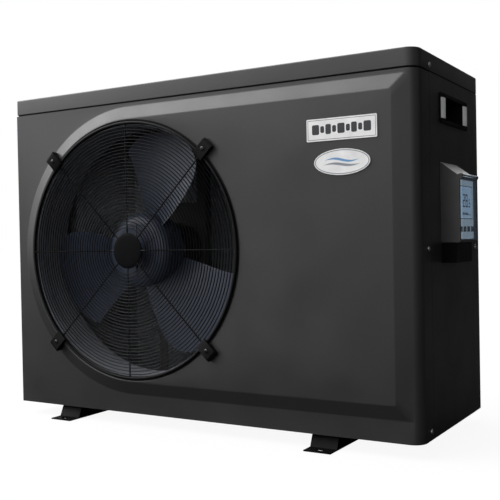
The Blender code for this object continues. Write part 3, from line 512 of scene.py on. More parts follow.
def round_profile(points, radii, steps=4):
    """Rounds the corners of a closed outline, with one radius or a radius for each point."""
    out = []
    for i, point in enumerate(points):
        radius = radii[i] if isinstance(radii, (list, tuple)) else radii
        if radius <= 0:
            out.append(point)
            continue
        corner = Vector((*point, 0))
        back = Vector((*points[i - 1], 0)) - corner
        ahead = Vector((*points[(i + 1) % len(points)], 0)) - corner
        radius = min(radius, back.length * 0.45, ahead.length * 0.45)
        start, end = corner + back.normalized() * radius, corner + ahead.normalized() * radius
        for k in range(steps + 1):
            t = k / steps
            curve = start * (1 - t) ** 2 + corner * 2 * t * (1 - t) + end * t**2
            out.append((curve.x, curve.y))
    return out


# =============================================================== solids, all in cabinet mm
def add_verts(mesh, outline, axis, t):
    return [mesh.verts.new(ACROSS[axis](a, b, t)) for a, b in outline]


def bridge(mesh, first, second):
    """Joins two closed rings of the same number of vertices."""
    count = len(first)
    for i in range(count):
        j = (i + 1) % count
        mesh.faces.new((first[i], first[j], second[j], second[i]))


def bridge_round(mesh, rings):
    for i, ring in enumerate(rings):
        bridge(mesh, ring, rings[(i + 1) % len(rings)])


def add_solid(mesh, near, far):
    mesh.faces.new(near)
    mesh.faces.new(far)
    bridge(mesh, near, far)


def add_prism(mesh, outline, low, high, axis="z"):
    add_solid(mesh, add_verts(mesh, outline, axis, low), add_verts(mesh, outline, axis, high))


def add_box(mesh, xs, ys, zs):
    (x0, x1), (y0, y1) = xs, ys
    outline = ((x0, y0), (x1, y0), (x1, y1), (x0, y1))
    verts = [mesh.verts.new(place(x, y, z)) for z in zs for x, y in outline]
    sides = ((3, 2, 1, 0), (4, 5, 6, 7), (0, 1, 5, 4), (1, 2, 6, 5), (2, 3, 7, 6), (3, 0, 4, 7))
    for side in sides:
        mesh.faces.new([verts[i] for i in side])


def add_frame(mesh, outer, inner, near, far, axis):
    """A flat frame between an outer and an inner outline."""
    rings = [add_verts(mesh, ring, axis, t) for t in (near, far) for ring in (outer, inner)]
    for i in range(len(outer)):
        j = (i + 1) % len(outer)
        for a, b in ((0, 1), (2, 3), (0, 2), (1, 3)):
            mesh.faces.new((rings[a][i], rings[a][j], rings[b][j], rings[b][i]))


def add_revolved(mesh, profile, axis, centre, segments, closed=True):
    """Turns a profile of (radius, distance along the axis) about an axis through centre."""
    rings = []
    for radius, t in profile:
        if radius < 1e-6:
            rings.append([mesh.verts.new(ACROSS[axis](*centre, t))] * segments)
            continue
        angles = [2 * math.pi * i / segments for i in range(segments)]
        circle = [
            (centre[0] + radius * math.cos(q), centre[1] + radius * math.sin(q)) for q in angles
        ]
        rings.append(add_verts(mesh, circle, axis, t))
    count = len(rings)
    for k in range(count if closed else count - 1):
        following = (k + 1) % count
        first, second = rings[k], rings[following]
        if profile[k][0] < 1e-6 and profile[following][0] < 1e-6:
            continue
        for i in range(segments):
            j = (i + 1) % segments
            # at a pole the quad becomes a triangle
            face = []
            for vert in (first[i], first[j], second[j], second[i]):
                if vert not in face:
                    face.append(vert)
            if len(face) > 2:
                mesh.faces.new(face)


def add_cylinder(mesh, radius, low, high, axis, centre, segments):
    profile = [(0, low), (radius, low), (radius, high), (0, high)]
    add_revolved(mesh, profile, axis, centre, segments)


def add_tube(mesh, points, radius, sides=8):
    """A round wire through points in cabinet coordinates."""
    path = [place(*point) for point in points]
    radius /= 1000
    rings, side = [], None
    for i, point in enumerate(path):
        before = (point - path[i - 1]).normalized() if i else None
        after = (path[i + 1] - point).normalized() if i + 1 < len(path) else None
        way = ((before or after) + (after or before)).normalized()
        if side is None:
            side = way.cross(Vector((0, 0, 1)) if abs(way.z) < 0.9 else Vector((1, 0, 0)))
            side = side.normalized()
        side = (side - way * side.dot(way)).normalized()
        other = way.cross(side)
        angles = [2 * math.pi * k / sides for k in range(sides)]
        rings.append([
            mesh.verts.new(point + (side * math.cos(q) + other * math.sin(q)) * radius)
            for q in angles
        ])
    for first, second in zip(rings, rings[1:]):
        bridge(mesh, first, second)
    mesh.faces.new(list(reversed(rings[0])))
    mesh.faces.new(rings[-1])


def add_hoop(mesh, radius, wire, y, segments, sides=6):
    """A round wire hoop about the fan axis."""
    rings = []
    for i in range(segments):
        angle = 2 * math.pi * i / segments
        ring = []
        for k in range(sides):
            turn = 2 * math.pi * (k + 0.5) / sides
            point = around_fan(radius + wire * math.cos(turn), angle, y + wire * math.sin(turn))
            ring.append(mesh.verts.new(place(*point)))
        rings.append(ring)
    bridge_round(mesh, rings)


def radial_ends(mesh, angle, outline, half_width):
    """The two end rings of a slab standing radially; the outline is (radius, y)."""
    return [
        [mesh.verts.new(place(*around_fan(radius, angle, y, side))) for radius, y in outline]
        for side in (-half_width, half_width)
    ]


def add_rib(mesh, angle, outline, half_width):
    near, far = radial_ends(mesh, angle, outline, half_width)
    mesh.faces.new(near)
    mesh.faces.new(list(reversed(far)))
    bridge(mesh, near, far)


def drill(obj, node, radius=2.4):
    """Cuts a case screw's hole through the right-hand side."""
    centre = middle(node)[1:]
    cut(obj, add_cylinder, radius, WIDTH - 9, WIDTH + 6, "x", centre, 20)


def cut_cross(screw, axis, centre, span, halves):
    """Cuts a cross recess; halves are the half sizes of its first bar."""
    for a, b in (halves, halves[::-1]):
        first = (centre[0] - a, centre[0] + a)
        second = (centre[1] - b, centre[1] + b)
        ranges = (first, span, second) if axis == "y" else (span, first, second)
        cut(screw, add_box, *ranges)


# =============================================================== front panel
PLATEAU_RADIUS = 250.0  # the raised field's round left end, about the fan axis
SLOPE_WIDTH = 27.5  # from the field down to the border
SLOPE_SOFTNESS = 3.0  # width over which the slope's edges are drawn round
FIELD_RIGHT = 830.0  # where the field's right slope begins
PANEL_SHEET = 1.5
# the field's right slope runs straight into the rounded corner, which it meets this far round
MEET_ANGLE = 25.0
CORNER_X = WIDTH - CORNER_RADIUS
MEET_X = CORNER_X + CORNER_RADIUS * math.sin(math.radians(MEET_ANGLE))
MEET_Y = CORNER_RADIUS * (1 - math.cos(math.radians(MEET_ANGLE)))
RIGHT_SHARE = (MEET_X - FIELD_RIGHT) / SLOPE_WIDTH

# opening lip, (radius, y) from inside out: the flanged mouth, the seat for the guard's rim,
# and the seat's sloping wall
LIP = (
    (240.6, 13.0), (240.6, -3.0), (240.9, -5.4), (241.8, -6.9), (243.2, -7.4),
    (246.0, -7.4), (246.7, -7.6), (249.0, -9.7), (249.5, -9.93), (249.9, -RAISE),
)
# distances out from the field's edge at which the slope is drawn
SLOPE_STEPS = (
    0.0, 0.6, 1.2, 1.8, 2.4, 3.0, 9.0, 16.0, 24.4, 25.0, 25.6, 26.2, 26.8, SLOPE_WIDTH,
)


def field_stations():
    """Stations round the raised field: (stretch, angle in degrees or share of the stretch)."""
    angles = [90 + 180 * i / 120 for i in range(121)]
    for z in (PANEL_TOP, PANEL_BOTTOM):
        angles.append(math.degrees(math.atan2(z - FAN_Z, -FAN_X)) % 360)
    stations = [("arc", angle) for angle in sorted(angles)]
    # two more stations where the border strip bends round the corner
    bend = [(MEET_X - x) / (MEET_X - FAN_X) for x in (CORNER_X + 4.6, CORNER_X)]
    stations += [("bottom", i / 36) for i in range(1, 36)]
    stations += [("bottom", 1 - share) for share in reversed(bend)] + [("bottom", 1.0)]
    stations += [("right", i / 36) for i in range(1, 37)]
    stations += [("top", share) for share in bend] + [("top", i / 36) for i in range(1, 36)]
    return stations


def field_point(station, distance):
    """The (x, z) of a station, a distance out from the field's edge."""
    stretch, value = station
    radius = PLATEAU_RADIUS + distance
    right = FIELD_RIGHT + distance * RIGHT_SHARE
    if stretch == "arc":
        angle = math.radians(value)
        return FAN_X + radius * math.cos(angle), FAN_Z + radius * math.sin(angle)
    if stretch == "bottom":
        return FAN_X + (right - FAN_X) * value, FAN_Z - radius
    if stretch == "right":
        return right, FAN_Z - radius + 2 * radius * value
    return right + (FAN_X - right) * value, FAN_Z + radius


def border_point(station):
    """The (x, z) where a station meets the panel's outer border."""
    stretch, value = station
    if stretch == "arc":
        cosine, sine = math.cos(math.radians(value)), math.sin(math.radians(value))
        hits = []
        if cosine < -1e-9:
            hits.append(-FAN_X / cosine)
        if sine > 1e-9:
            hits.append((PANEL_TOP - FAN_Z) / sine)
        if sine < -1e-9:
            hits.append((PANEL_BOTTOM - FAN_Z) / sine)
        return FAN_X + min(hits) * cosine, FAN_Z + min(hits) * sine
    if stretch == "bottom":
        return FAN_X + (MEET_X - FAN_X) * value, PANEL_BOTTOM
    if stretch == "right":
        return MEET_X, PANEL_BOTTOM + (PANEL_TOP - PANEL_BOTTOM) * value
    return MEET_X + (FAN_X - MEET_X) * value, PANEL_TOP


def slope_y(station, distance):
    """The slope's y, averaged over a short width so that its edges are soft.

    On the right the slope goes on, unsoftened, to the rounded corner.
    """
    soft = SLOPE_SOFTNESS
    samples = [distance - soft / 2 + soft * (k / 20 - 0.5) for k in range(21)]
    if station[0] != "right" and station != ("bottom", 1.0):
        width = SLOPE_WIDTH - soft
        return -RAISE * sum(1 - min(1.0, max(0.0, x / width)) for x in samples) / 21
    share = sum(max(0.0, x) for x in samples) / 21 / (SLOPE_WIDTH - soft / 2)
    return -RAISE + (RAISE + MEET_Y) * share


def corner_y(x):
    """The y of the front face as it bends round the right-hand corner."""
    past = max(0.0, x - CORNER_X)
    return CORNER_RADIUS - math.sqrt(CORNER_RADIUS * CORNER_RADIUS - past * past)


def extend_edge(mesh, edge, start_x, path):
    """Carries the border's upright edge at start_x on through the (x, y) points of path."""
    start = place(start_x, 0, 0).x
    column = [vert for vert in edge if abs(vert.co.x - start) < 1e-6]
    column.sort(key=lambda vert: vert.co.z)
    for x, y in path:
        point = place(x, y, 0)
        new = [mesh.verts.new((point.x, point.y, vert.co.z)) for vert in column]
        for k in range(len(column) - 1):
            mesh.faces.new((column[k], new[k], new[k + 1], column[k + 1]))
        column = new


def build_front_panel():
    stations = field_stations()
    mesh = bmesh.new()
    # the lip's points lie in the directions of the stations, taken just inside the field's edge
    angles = []
    for station in stations:
        x, z = field_point(station, -2.5)
        angles.append(math.atan2(z - FAN_Z, x - FAN_X))
    loops = []
    for radius, y in LIP:
        loops.append([mesh.verts.new(place(*around_fan(radius, t, y))) for t in angles])
    for distance in SLOPE_STEPS:
        loop = []
        for station in stations:
            x, z = field_point(station, distance)
            loop.append(mesh.verts.new(place(x, slope_y(station, distance), z)))
        loops.append(loop)
    edge = []
    for x, z in map(border_point, stations):
        edge.append(mesh.verts.new(place(x, corner_y(x), z)))
    loops.append(edge)
    count = len(stations)
    for inner, outer in zip(loops, loops[1:]):
        for i in range(count):
            j = (i + 1) % count
            mesh.faces.new((inner[i], outer[i], outer[j], inner[j]))

    turn = [math.radians(MEET_ANGLE + (90 - MEET_ANGLE) * k / 11) for k in range(1, 12)]
    corner = [
        (CORNER_X + CORNER_RADIUS * math.sin(t), CORNER_RADIUS * (1 - math.cos(t))) for t in turn
    ]
    extend_edge(mesh, edge, MEET_X, corner + [(WIDTH, 57.0)])
    extend_edge(mesh, edge, 0.0, [(0.0, 18.0)])
    panel = finish_mesh(
        "front_panel_skin", mesh, COAT, replaces="front_panel", smooth=50
    )
    thicken(panel, PANEL_SHEET)
    for node in ("case_screw_mid", "case_screw_low"):
        drill(panel, node)
    apply_cuts(panel, sharp=50)
    add_bevel(panel, 0.55, angle=55)


build_front_panel()


# =============================================================== lid
def build_lid():
    profile = [(0.0, SEAM_Z + SEAM_GAP)]  # (inset, z)
    for degrees in range(0, 91, 10):
        angle = math.radians(degrees)
        inset = LID_FOLD_RADIUS * (1 - math.cos(angle))
        profile.append((inset, HEIGHT - LID_FOLD_RADIUS + LID_FOLD_RADIUS * math.sin(angle)))
    mesh = bmesh.new()
    loops = [add_verts(mesh, cabinet_outline(inset, 14), "z", z) for inset, z in profile]
    for lower, upper in zip(loops, loops[1:]):
        bridge(mesh, lower, upper)
    mesh.faces.new(loops[-1])
    lid = finish_mesh(
        "top_cover_skin", mesh, COAT_LID, replaces="top_cover", smooth=50
    )
    thicken(lid, 1.4)
    drill(lid, "case_screw_lid")
    apply_cuts(lid, sharp=50)
    add_bevel(lid, 0.5, angle=55)


build_lid()

# =============================================================== guard, clips and shroud
HOOP_PITCH, HOOP_WIRE = 6.2, 0.95
HOOP_OUTER, HOOP_INNER = 236.0, 38.0
SPOKES, SPOKE_WIRE = 8, 1.5


def build_guard():
    y0, y1 = extent("fan_guard")[0][1], extent("fan_guard")[1][1]
    mesh = bmesh.new()
    # rim: a slim, nearly round bar
    rim = [(240.7, y0), (245.9, y0), (245.9, y1 + 2.0), (240.7, y1 + 2.0)]
    add_revolved(mesh, round_profile(rim, 2.3, 6), "y", FAN_CENTRE, 160)
    radius = HOOP_OUTER
    while radius > HOOP_INNER:
        add_hoop(mesh, radius, HOOP_WIRE, y0 + 1.1, 112 if radius > 120 else 72)
        radius -= HOOP_PITCH
    # spokes lie behind the hoops, and run under the rim
    for k in range(SPOKES):
        angle = math.radians(360 / SPOKES * k)
        points = [around_fan(reach, angle, y1 - 1.15) for reach in (30.0, 136.0, 242.0)]
        add_tube(mesh, points, SPOKE_WIRE, 10)
    finish_mesh("fan_guard_wire", mesh, GUARD, replaces="fan_guard", smooth=60)
    # centre cap: a shallow dome with a rolled edge, (radius, y)
    mesh = bmesh.new()
    dome = [
        (0, y0 + 0.5), (10, y0 + 0.55), (20, y0 + 0.7), (28, y0 + 0.95), (32, y0 + 1.3),
        (33.6, y0 + 1.9), (34, y0 + 2.8), (33.6, y1 - 0.2), (32, y1 - 0.1), (0, y1 - 0.1),
    ]
    add_revolved(mesh, dome, "y", FAN_CENTRE, 72, closed=False)
    finish_mesh("guard_centre_cap", mesh, CAP, smooth=40)


def build_clip(node, degrees):
    """Screwed clip: a rounded block with a lip over the guard's rim and a cross-head screw."""
    angle = math.radians(degrees)
    front, lip = -RAISE - 9.5, -RAISE - 5.0
    # on the left the clip's outer end follows the slope down
    drop = RAISE if math.cos(angle) < 0 else 0.0

    def floor_y(radius):
        return -RAISE + max(0.0, (radius - PLATEAU_RADIUS) / SLOPE_WIDTH * drop) - 0.3

    outline = [
        (251.5, lip), (251.5, floor_y(251.5)), (271.0, floor_y(271.0)), (273.0, front + 3.5),
        (268.0, front), (240.0, front), (236.5, front + 2.0), (236.5, lip),
    ]
    mesh = bmesh.new()
    add_solid(mesh, *radial_ends(mesh, angle, outline, 12.0))
    finish_mesh(node + "_body", mesh, BLACK, replaces=node, smooth=35,
                bevel=1.0, segments=3, angle=30)
    x, _, z = around_fan(256, angle, front)
    head = [(0, front), (4.0, front), (4.0, front - 1.0), (2.6, front - 1.9), (0, front - 2.1)]
    mesh = bmesh.new()
    add_revolved(mesh, round_profile(head, [0, 0, 0.4, 0.6, 0], 3), "y", (x, z), 24)
    screw = finish_mesh(node + "_screw", mesh, ENAMEL, smooth=40)
    cut_cross(screw, "y", (x, z), (front - 3, front - 0.9), halves=(2.2, 0.45))
    apply_modifiers(screw)


# section of the shroud ring, (radius, y, corner radius); its front lip lines the panel's mouth
SHROUD_SECTION = (
    (239.0, -7.2, 0.5), (240.3, -7.2, 0.5), (240.3, 13.3, 0.4), (262, 13.3, 0.5),
    (262, 15.0, 0.5), (242.8, 15.0, 2), (242.8, 80, 8), (257, 91, 0.5),
    (255.8, 93, 0.5), (241, 81, 8), (241, 20, 4), (239.0, 14, 4),
)


def build_shroud():
    points = [(radius, y) for radius, y, _ in SHROUD_SECTION]
    corners = [corner for _, _, corner in SHROUD_SECTION]
    mesh = bmesh.new()
    add_revolved(mesh, round_profile(points, corners, 5), "y", FAN_CENTRE, 160)
    finish_mesh(
        "fan_shroud_ring", mesh, SHROUD, replaces="fan_shroud", smooth=40
    )


build_guard()
for place_name, degrees in (
    ("upper_right", 45), ("upper_left", 135), ("lower_left", 225), ("lower_right", 315)
):
    build_clip("guard_clip_" + place_name, degrees)
build_shroud()

# =============================================================== fan
TIP_RADIUS, HUB_RADIUS = 232.0, 72.0
BLADE_ROOT = HUB_RADIUS - 2.0  # blades start inside the hub's wall
BLADES, FIRST_BLADE_ANGLE = 3, 74.0
ROOT_SPREAD, SPREAD_LOSS, TIP_SWEEP = 67, 12, 5  # degrees: at the root, lost to the tip, forward
BLADE_Y, ROOT_RISE, RISE_LOSS, CAMBER = 53, 52, 22, 14
ROOT_HALF_THICKNESS, THICKNESS_LOSS = 1.7, 0.7
TIP_ROUNDING, ROUNDING_START = 0.16, 0.6  # how much the tip's corners draw in, and from where
BLADE_ROWS, BLADE_COLUMNS = 30, 26


def blade_point(mid_angle, out, across, side):
    """A point of a blade: out runs 0 to 1 from root to tip, across -0.5 to 0.5 over the chord."""
    edge = 2 * abs(across)
    draw_in = max(0.0, out - ROUNDING_START) / (1 - ROUNDING_START)
    shrink = 1 - TIP_ROUNDING * draw_in * edge**3
    radius = BLADE_ROOT + (TIP_RADIUS - BLADE_ROOT) * out * shrink
    spread = math.radians(ROOT_SPREAD - SPREAD_LOSS * out)
    angle = mid_angle + math.radians(TIP_SWEEP * out * out) + across * spread
    y = BLADE_Y + across * (ROOT_RISE - RISE_LOSS * out) + (0.25 - across * across) * CAMBER
    thinning = max(0.12, math.sqrt(max(0.0, 1 - edge**6)))
    y += side * (ROOT_HALF_THICKNESS - THICKNESS_LOSS * out) * thinning
    return place(*around_fan(radius, angle, y))


def add_blade(mesh, mid_angle):
    last_row, last_column = BLADE_ROWS - 1, BLADE_COLUMNS - 1
    stations = [
        0.5 * math.sin(math.pi * (j / last_column - 0.5)) for j in range(BLADE_COLUMNS)
    ]
    a, b = [
        [
            [mesh.verts.new(blade_point(mid_angle, i / last_row, s, side)) for s in stations]
            for i in range(BLADE_ROWS)
        ]
        for side in (-1, 1)
    ]
    for i in range(last_row):
        for j in range(last_column):
            mesh.faces.new((a[i][j], a[i + 1][j], a[i + 1][j + 1], a[i][j + 1]))
            mesh.faces.new((b[i][j], b[i][j + 1], b[i + 1][j + 1], b[i + 1][j]))
    for i in range(last_row):
        mesh.faces.new((a[i][0], b[i][0], b[i + 1][0], a[i + 1][0]))
        mesh.faces.new((a[i][-1], a[i + 1][-1], b[i + 1][-1], b[i][-1]))
    for j in range(last_column):
        mesh.faces.new((a[0][j], a[0][j + 1], b[0][j + 1], b[0][j]))
        mesh.faces.new((a[-1][j], b[-1][j], b[-1][j + 1], a[-1][j + 1]))


def build_fan():
    inner = HUB_RADIUS - 3
    outline = [
        (6.5, 15), (52, 15), (64, 19), (HUB_RADIUS, 27), (HUB_RADIUS, 74),
        (inner, 74), (inner, 30), (20, 22), (20, 62), (6.5, 62),
    ]
    mesh = bmesh.new()
    hub = round_profile(outline, [0.8, 3, 4, 5, 0.8, 0.8, 2, 2, 0.6, 0.6])
    add_revolved(mesh, hub, "y", FAN_CENTRE, 96)
    fan = finish_mesh(
        "fan_rotor_moulding", mesh, FAN_PLASTIC, "fan", replaces="fan_rotor"
    )
    for k in range(BLADES):
        unite(fan, add_blade, math.radians(FIRST_BLADE_ANGLE + 360 / BLADES * k))
    # stiffening ribs on the hub's face
    rib = ((22, 15.5), (22, 13.6), (50, 13.6), (62, 18.6), (62, 20.5))
    for k in range(6):
        unite(fan, add_rib, math.radians(60 * k + 30), rib, 1.4)
    apply_modifiers(fan)
    fan.data.shade_smooth()
    set_sharp(fan, 30)


build_fan()


# =============================================================== motor
def build_motor():
    outline = [
        (7, 84), (18, 84), (18, 92), (50, 95), (56, 101),
        (56, 158), (50, 164), (0, 164), (0, 122), (7, 122),
    ]
    mesh = bmesh.new()
    can = round_profile(outline, [0.5, 1, 2, 3, 3, 3, 3, 0, 0, 0.5])
    add_revolved(mesh, can, "y", FAN_CENTRE, 72)
    motor = finish_mesh(
        "fan_motor_can", mesh, ENAMEL, replaces="fan_motor", smooth=35
    )
    rib = ((30, 96), (30, 92.5), (48, 93.5), (53, 97.5), (53, 104))
    for k in range(12):
        unite(motor, add_rib, math.radians(30 * k + 15), rib, 1.1)
    apply_cuts(motor, sharp=35)


build_motor()

# =============================================================== coil: fins on copper tubes
COIL_SIDE = 26.0  # thickness of the coil's run along the left side
COIL_REAR_FRONT = 308.0  # front of its run along the back
FIN_PITCH, FIN_SHEET, FIN_STEP = 2.1, 0.24, 2.0
CORNER_FINS = 12
TUBE_RADIUS, TUBE_PITCH = 4.4, 25.4
COIL_PLATE = 1.6


def corrugation(start, end):
    """One fin's (distance, sideways step): four runs, each going from side to side."""
    return [(start + (end - start) * i / 4, FIN_STEP * (i % 2)) for i in range(5)]


def build_coil():
    (x0, y0, z0), (x1, y1, z1) = extent("evaporator_coil")
    rear_depth = y1 - COIL_REAR_FRONT
    corner_x, corner_y = x0 + COIL_SIDE, y1 - rear_depth
    mesh = bmesh.new()
    line = corrugation(corner_y, y1)
    x = corner_x + 1.0
    while x < x1 - 5.0:
        outline = [(x + step, y) for y, step in line]
        outline += [(x + step + FIN_SHEET, y) for y, step in reversed(line)]
        add_prism(mesh, outline, z0, z1)
        x += FIN_PITCH
    line = corrugation(x0, corner_x)
    y = y0 + 3.0
    while y < corner_y - 3.2:
        outline = [(x, y + step) for x, step in line]
        outline += [(x, y + step + FIN_SHEET) for x, step in reversed(line)]
        add_prism(mesh, outline, z0, z1)
        y += FIN_PITCH
    # the corner, where the fins fan out round the bend
    half = FIN_SHEET / 2
    for i in range(1, CORNER_FINS + 1):
        angle = math.radians(90 + 90 * i / (CORNER_FINS + 1))
        cosine, sine = math.cos(angle), math.sin(angle)
        far = min(COIL_SIDE / max(1e-6, -cosine), rear_depth / max(1e-6, sine)) * 0.995
        outline = [
            (corner_x + cosine * reach - sine * side, corner_y + sine * reach + cosine * side)
            for reach, side in ((2, half), (far, half), (far, -half), (2, -half))
        ]
        add_prism(mesh, outline, z0, z1)
    finish_mesh("coil_fins", mesh, FIN, replaces="evaporator_coil", smooth=20)

    mesh = bmesh.new()
    low = z0 + 14.0
    while low < z1 - 8:
        # two staggered rows: (inset from the outer face, bend radius, height)
        for inset, bend, z in ((7.0, 9.0, low), (19.5, 4.5, low + TUBE_PITCH / 2)):
            if z > z1 - 6:
                continue
            bend_x, bend_y = x0 + inset + bend, y1 - inset - bend
            path = [(x0 + inset, y0 + 1.0, z), (x0 + inset, bend_y, z)]
            for degrees in range(15, 91, 15):
                angle = math.radians(degrees)
                path.append((bend_x - bend * math.cos(angle), bend_y + bend * math.sin(angle), z))
            path.append((x1 - 1.0, y1 - inset, z))
            add_tube(mesh, path, TUBE_RADIUS)
        low += TUBE_PITCH
    finish_mesh("coil_tubes", mesh, COPPER, smooth=60)

    mesh = bmesh.new()
    add_box(mesh, (x1 - COIL_PLATE, x1), (corner_y, y1), (z0, z1))
    add_box(mesh, (x0, x0 + COIL_SIDE), (y0, y0 + COIL_PLATE), (z0, z1))
    finish_mesh("coil_end_plates", mesh, GALV, bevel=0.3)


build_coil()

# =============================================================== air-inlet grilles
GRILLE_BAND = 9.0
UPRIGHT_PITCH, CROSS_PITCH = 12.6, 48.0
UPRIGHT_RADIUS, CROSS_RADIUS = 1.05, 1.25


def build_grille(name, node, axis):
    """Coated wire grille facing along an axis: a flat frame, close upright wires, and a few
    cross wires on their inner side."""
    (x0, y0, z0), (x1, y1, z1) = extent(node)
    rear = axis == "y"
    a0, a1, t0, t1 = (x0, x1, y0, y1) if rear else (y0, y1, x0, x1)
    band = GRILLE_BAND
    depth = (t1 - t0) * 0.55
    low, high = (t1 - depth, t1) if rear else (t0, t0 + depth)
    outer = [(a0, z0), (a1, z0), (a1, z1), (a0, z1)]
    inner = [
        (a0 + band, z0 + band), (a1 - band, z0 + band), (a1 - band, z1 - band), (a0 + band, z1 - band)
    ]
    mesh = bmesh.new()
    add_frame(mesh, outer, inner, low, high, axis)
    finish_mesh(name + "_frame", mesh, GUARD, replaces=node, bevel=0.6)

    upright_t = low + 1.2 if rear else high - 1.2
    cross_t = upright_t - 1.9 if rear else upright_t + 1.9

    def add_wire(points, t, radius):
        add_tube(mesh, [(a, t, z) if rear else (t, a, z) for a, z in points], radius)

    mesh = bmesh.new()
    span = a1 - a0 - 2 * band
    count = round(span / UPRIGHT_PITCH)
    for i in range(1, count):
        a = a0 + band + span * i / count
        add_wire([(a, z0 + 3), (a, (z0 + z1) / 2), (a, z1 - 3)], upright_t, UPRIGHT_RADIUS)
    span = z1 - z0 - 2 * band
    count = round(span / CROSS_PITCH)
    for i in range(1, count):
        z = z0 + band + span * i / count
        add_wire([(a0 + 3, z), ((a0 + a1) / 2, z), (a1 - 3, z)], cross_t, CROSS_RADIUS)
    finish_mesh(name + "_wires", mesh, GUARD, smooth=60)


build_grille("rear_grille", "rear_coil_guard", "y")
build_grille("left_grille", "left_coil_guard", "x")

# =============================================================== rear panel
REAR_SHEET = 1.6
LOUVRE_HEIGHTS = [500 + 11 * k for k in range(8)]
LOUVRE_X0, LOUVRE_X1, LOUVRE_OPENING = 660, 800, 4.2


def build_rear_panel():
    (x0, y0, z0), (x1, y1, z1) = extent("rear_service_panel")
    centre_x, centre_y = x1 - CORNER_RADIUS, y1 - CORNER_RADIUS
    outer = arc(centre_x, centre_y, CORNER_RADIUS, 0, 90, 16)
    inner = arc(centre_x, centre_y, CORNER_RADIUS - REAR_SHEET, 0, 90, 16)
    outline = [(x0, y1)] + outer[::-1] + [(x1, y0)]
    outline += [(x1 - REAR_SHEET, y0)] + inner + [(x0, y1 - REAR_SHEET)]
    mesh = bmesh.new()
    add_prism(mesh, outline, z0, z1)
    panel = finish_mesh(
        "rear_service_panel_skin", mesh, COAT, replaces="rear_service_panel"
    )
    for node, radius in (("inlet_tailpiece", 27.5), ("outlet_tailpiece", 27.5), ("cable_gland", 10.5)):
        x, _, z = middle(node)
        cut(panel, add_cylinder, radius, 338, 362, "y", (x, z), 48)
    drill(panel, "case_screw_rear")
    # ventilation louvres high on the compressor side
    for z in LOUVRE_HEIGHTS:
        slot = rounded(LOUVRE_X0, z, LOUVRE_X1, z + LOUVRE_OPENING, 2.0, 4)
        cut(panel, add_prism, slot, 340, 356, "y")
    apply_cuts(panel, sharp=30)
    add_bevel(panel, 0.4)
    # the hoods over the louvres
    mesh = bmesh.new()
    for z in LOUVRE_HEIGHTS:
        hood = [(y1, z + 4.9), (y1 + 3.0, z + 2.2), (y1 + 3.0, z + 1.4), (y1, z + 4.0)]
        add_prism(mesh, hood, LOUVRE_X0 + 1, LOUVRE_X1 - 1, "x")
    finish_mesh("rear_louvre_hoods", mesh, COAT, smooth=25, bevel=0.25, angle=25)


build_rear_panel()


# =============================================================== water connections
def build_union(side):
    """A white tailpiece and the ribbed nut round it."""
    (x0, y0, _), (x1, y1, _) = extent(side + "_tailpiece")
    x, _, z = middle(side + "_tailpiece")
    flange = (x1 - x0) / 2
    tail = [(21, y0), (25, y0), (25, y1 - 8), (flange, y1 - 7.5), (flange, y1), (21, y1)]
    mesh = bmesh.new()
    add_revolved(mesh, round_profile(tail, [0.8, 0.8, 1.0, 0.8, 1.0, 0.8]), "y", (x, z), 72)
    finish_mesh(
        side + "_tail", mesh, PVC, replaces=side + "_tailpiece", smooth=35
    )
    y0, y1 = extent(side + "_union_nut")[0][1], extent(side + "_union_nut")[1][1]
    # (radius, height of the ribs over it, y)
    nut = (
        (26.0, 0, y0 + 0.6), (26.6, 0, y0), (34.5, 0.5, y0), (36.5, 0.5, y0 + 1.6),
        (37.5, 3.3, y0 + 3.0), (37.5, 3.3, y0 + 16), (37.5, 3.3, y1 - 3.6),
        (36.3, 0.5, y1 - 1.2), (34.0, 0.5, y1), (26.8, 0, y1), (26.0, 0, y1 - 0.8),
    )
    segments = 128
    mesh = bmesh.new()
    rings = []
    for radius, rib, y in nut:
        ring = []
        for i in range(segments):
            angle = 2 * math.pi * i / segments
            # eight ribs with steep flanks
            lobe = math.cos(8 * (angle - math.pi / 32))
            reach = radius + rib / (1 + math.exp(-9 * (lobe - 0.05)))
            point = place(x + reach * math.cos(angle), y, z + reach * math.sin(angle))
            ring.append(mesh.verts.new(point))
        rings.append(ring)
    bridge_round(mesh, rings)
    finish_mesh(side + "_nut", mesh, BLACK_SATIN, side + "_nut",
                replaces=side + "_union_nut", smooth=38)


def build_cable_gland():
    y0, y1 = extent("cable_gland")[0][1], extent("cable_gland")[1][1]
    x, _, z = middle("cable_gland")
    outline = [
        (5, y0), (9.8, y0), (9.8, 351.0), (12.0, 351.0),
        (12.4, 361), (10.5, 366.5), (7.5, y1), (5, y1),
    ]
    mesh = bmesh.new()
    body = round_profile(outline, [0.3, 0.4, 0.2, 0.4, 1, 2, 1, 0.4])
    add_revolved(mesh, body, "y", (x, z), 48)
    gland = finish_mesh(
        "cable_gland_body", mesh, BLACK_SATIN, replaces="cable_gland", smooth=35
    )
    angles = [math.radians(60 * k) for k in range(6)]
    hexagon = [(x + 14.5 * math.cos(t), z + 14.5 * math.sin(t)) for t in angles]
    unite(gland, add_prism, hexagon, 350.4, 358, "y")
    cut(gland, add_cylinder, 5.0, y0 - 5, y1 + 5, "y", (x, z), 32)
    apply_cuts(gland, sharp=35)
    add_bevel(gland, 0.5)


build_union("inlet")
build_union("outlet")
build_cable_gland()

# =============================================================== grips
GRIP_END = 30.0  # from the moulding's end to the cup
PAD_FLUTES, PAD_BULGE, FLUTE_DEPTH = 7, 3.4, 0.4


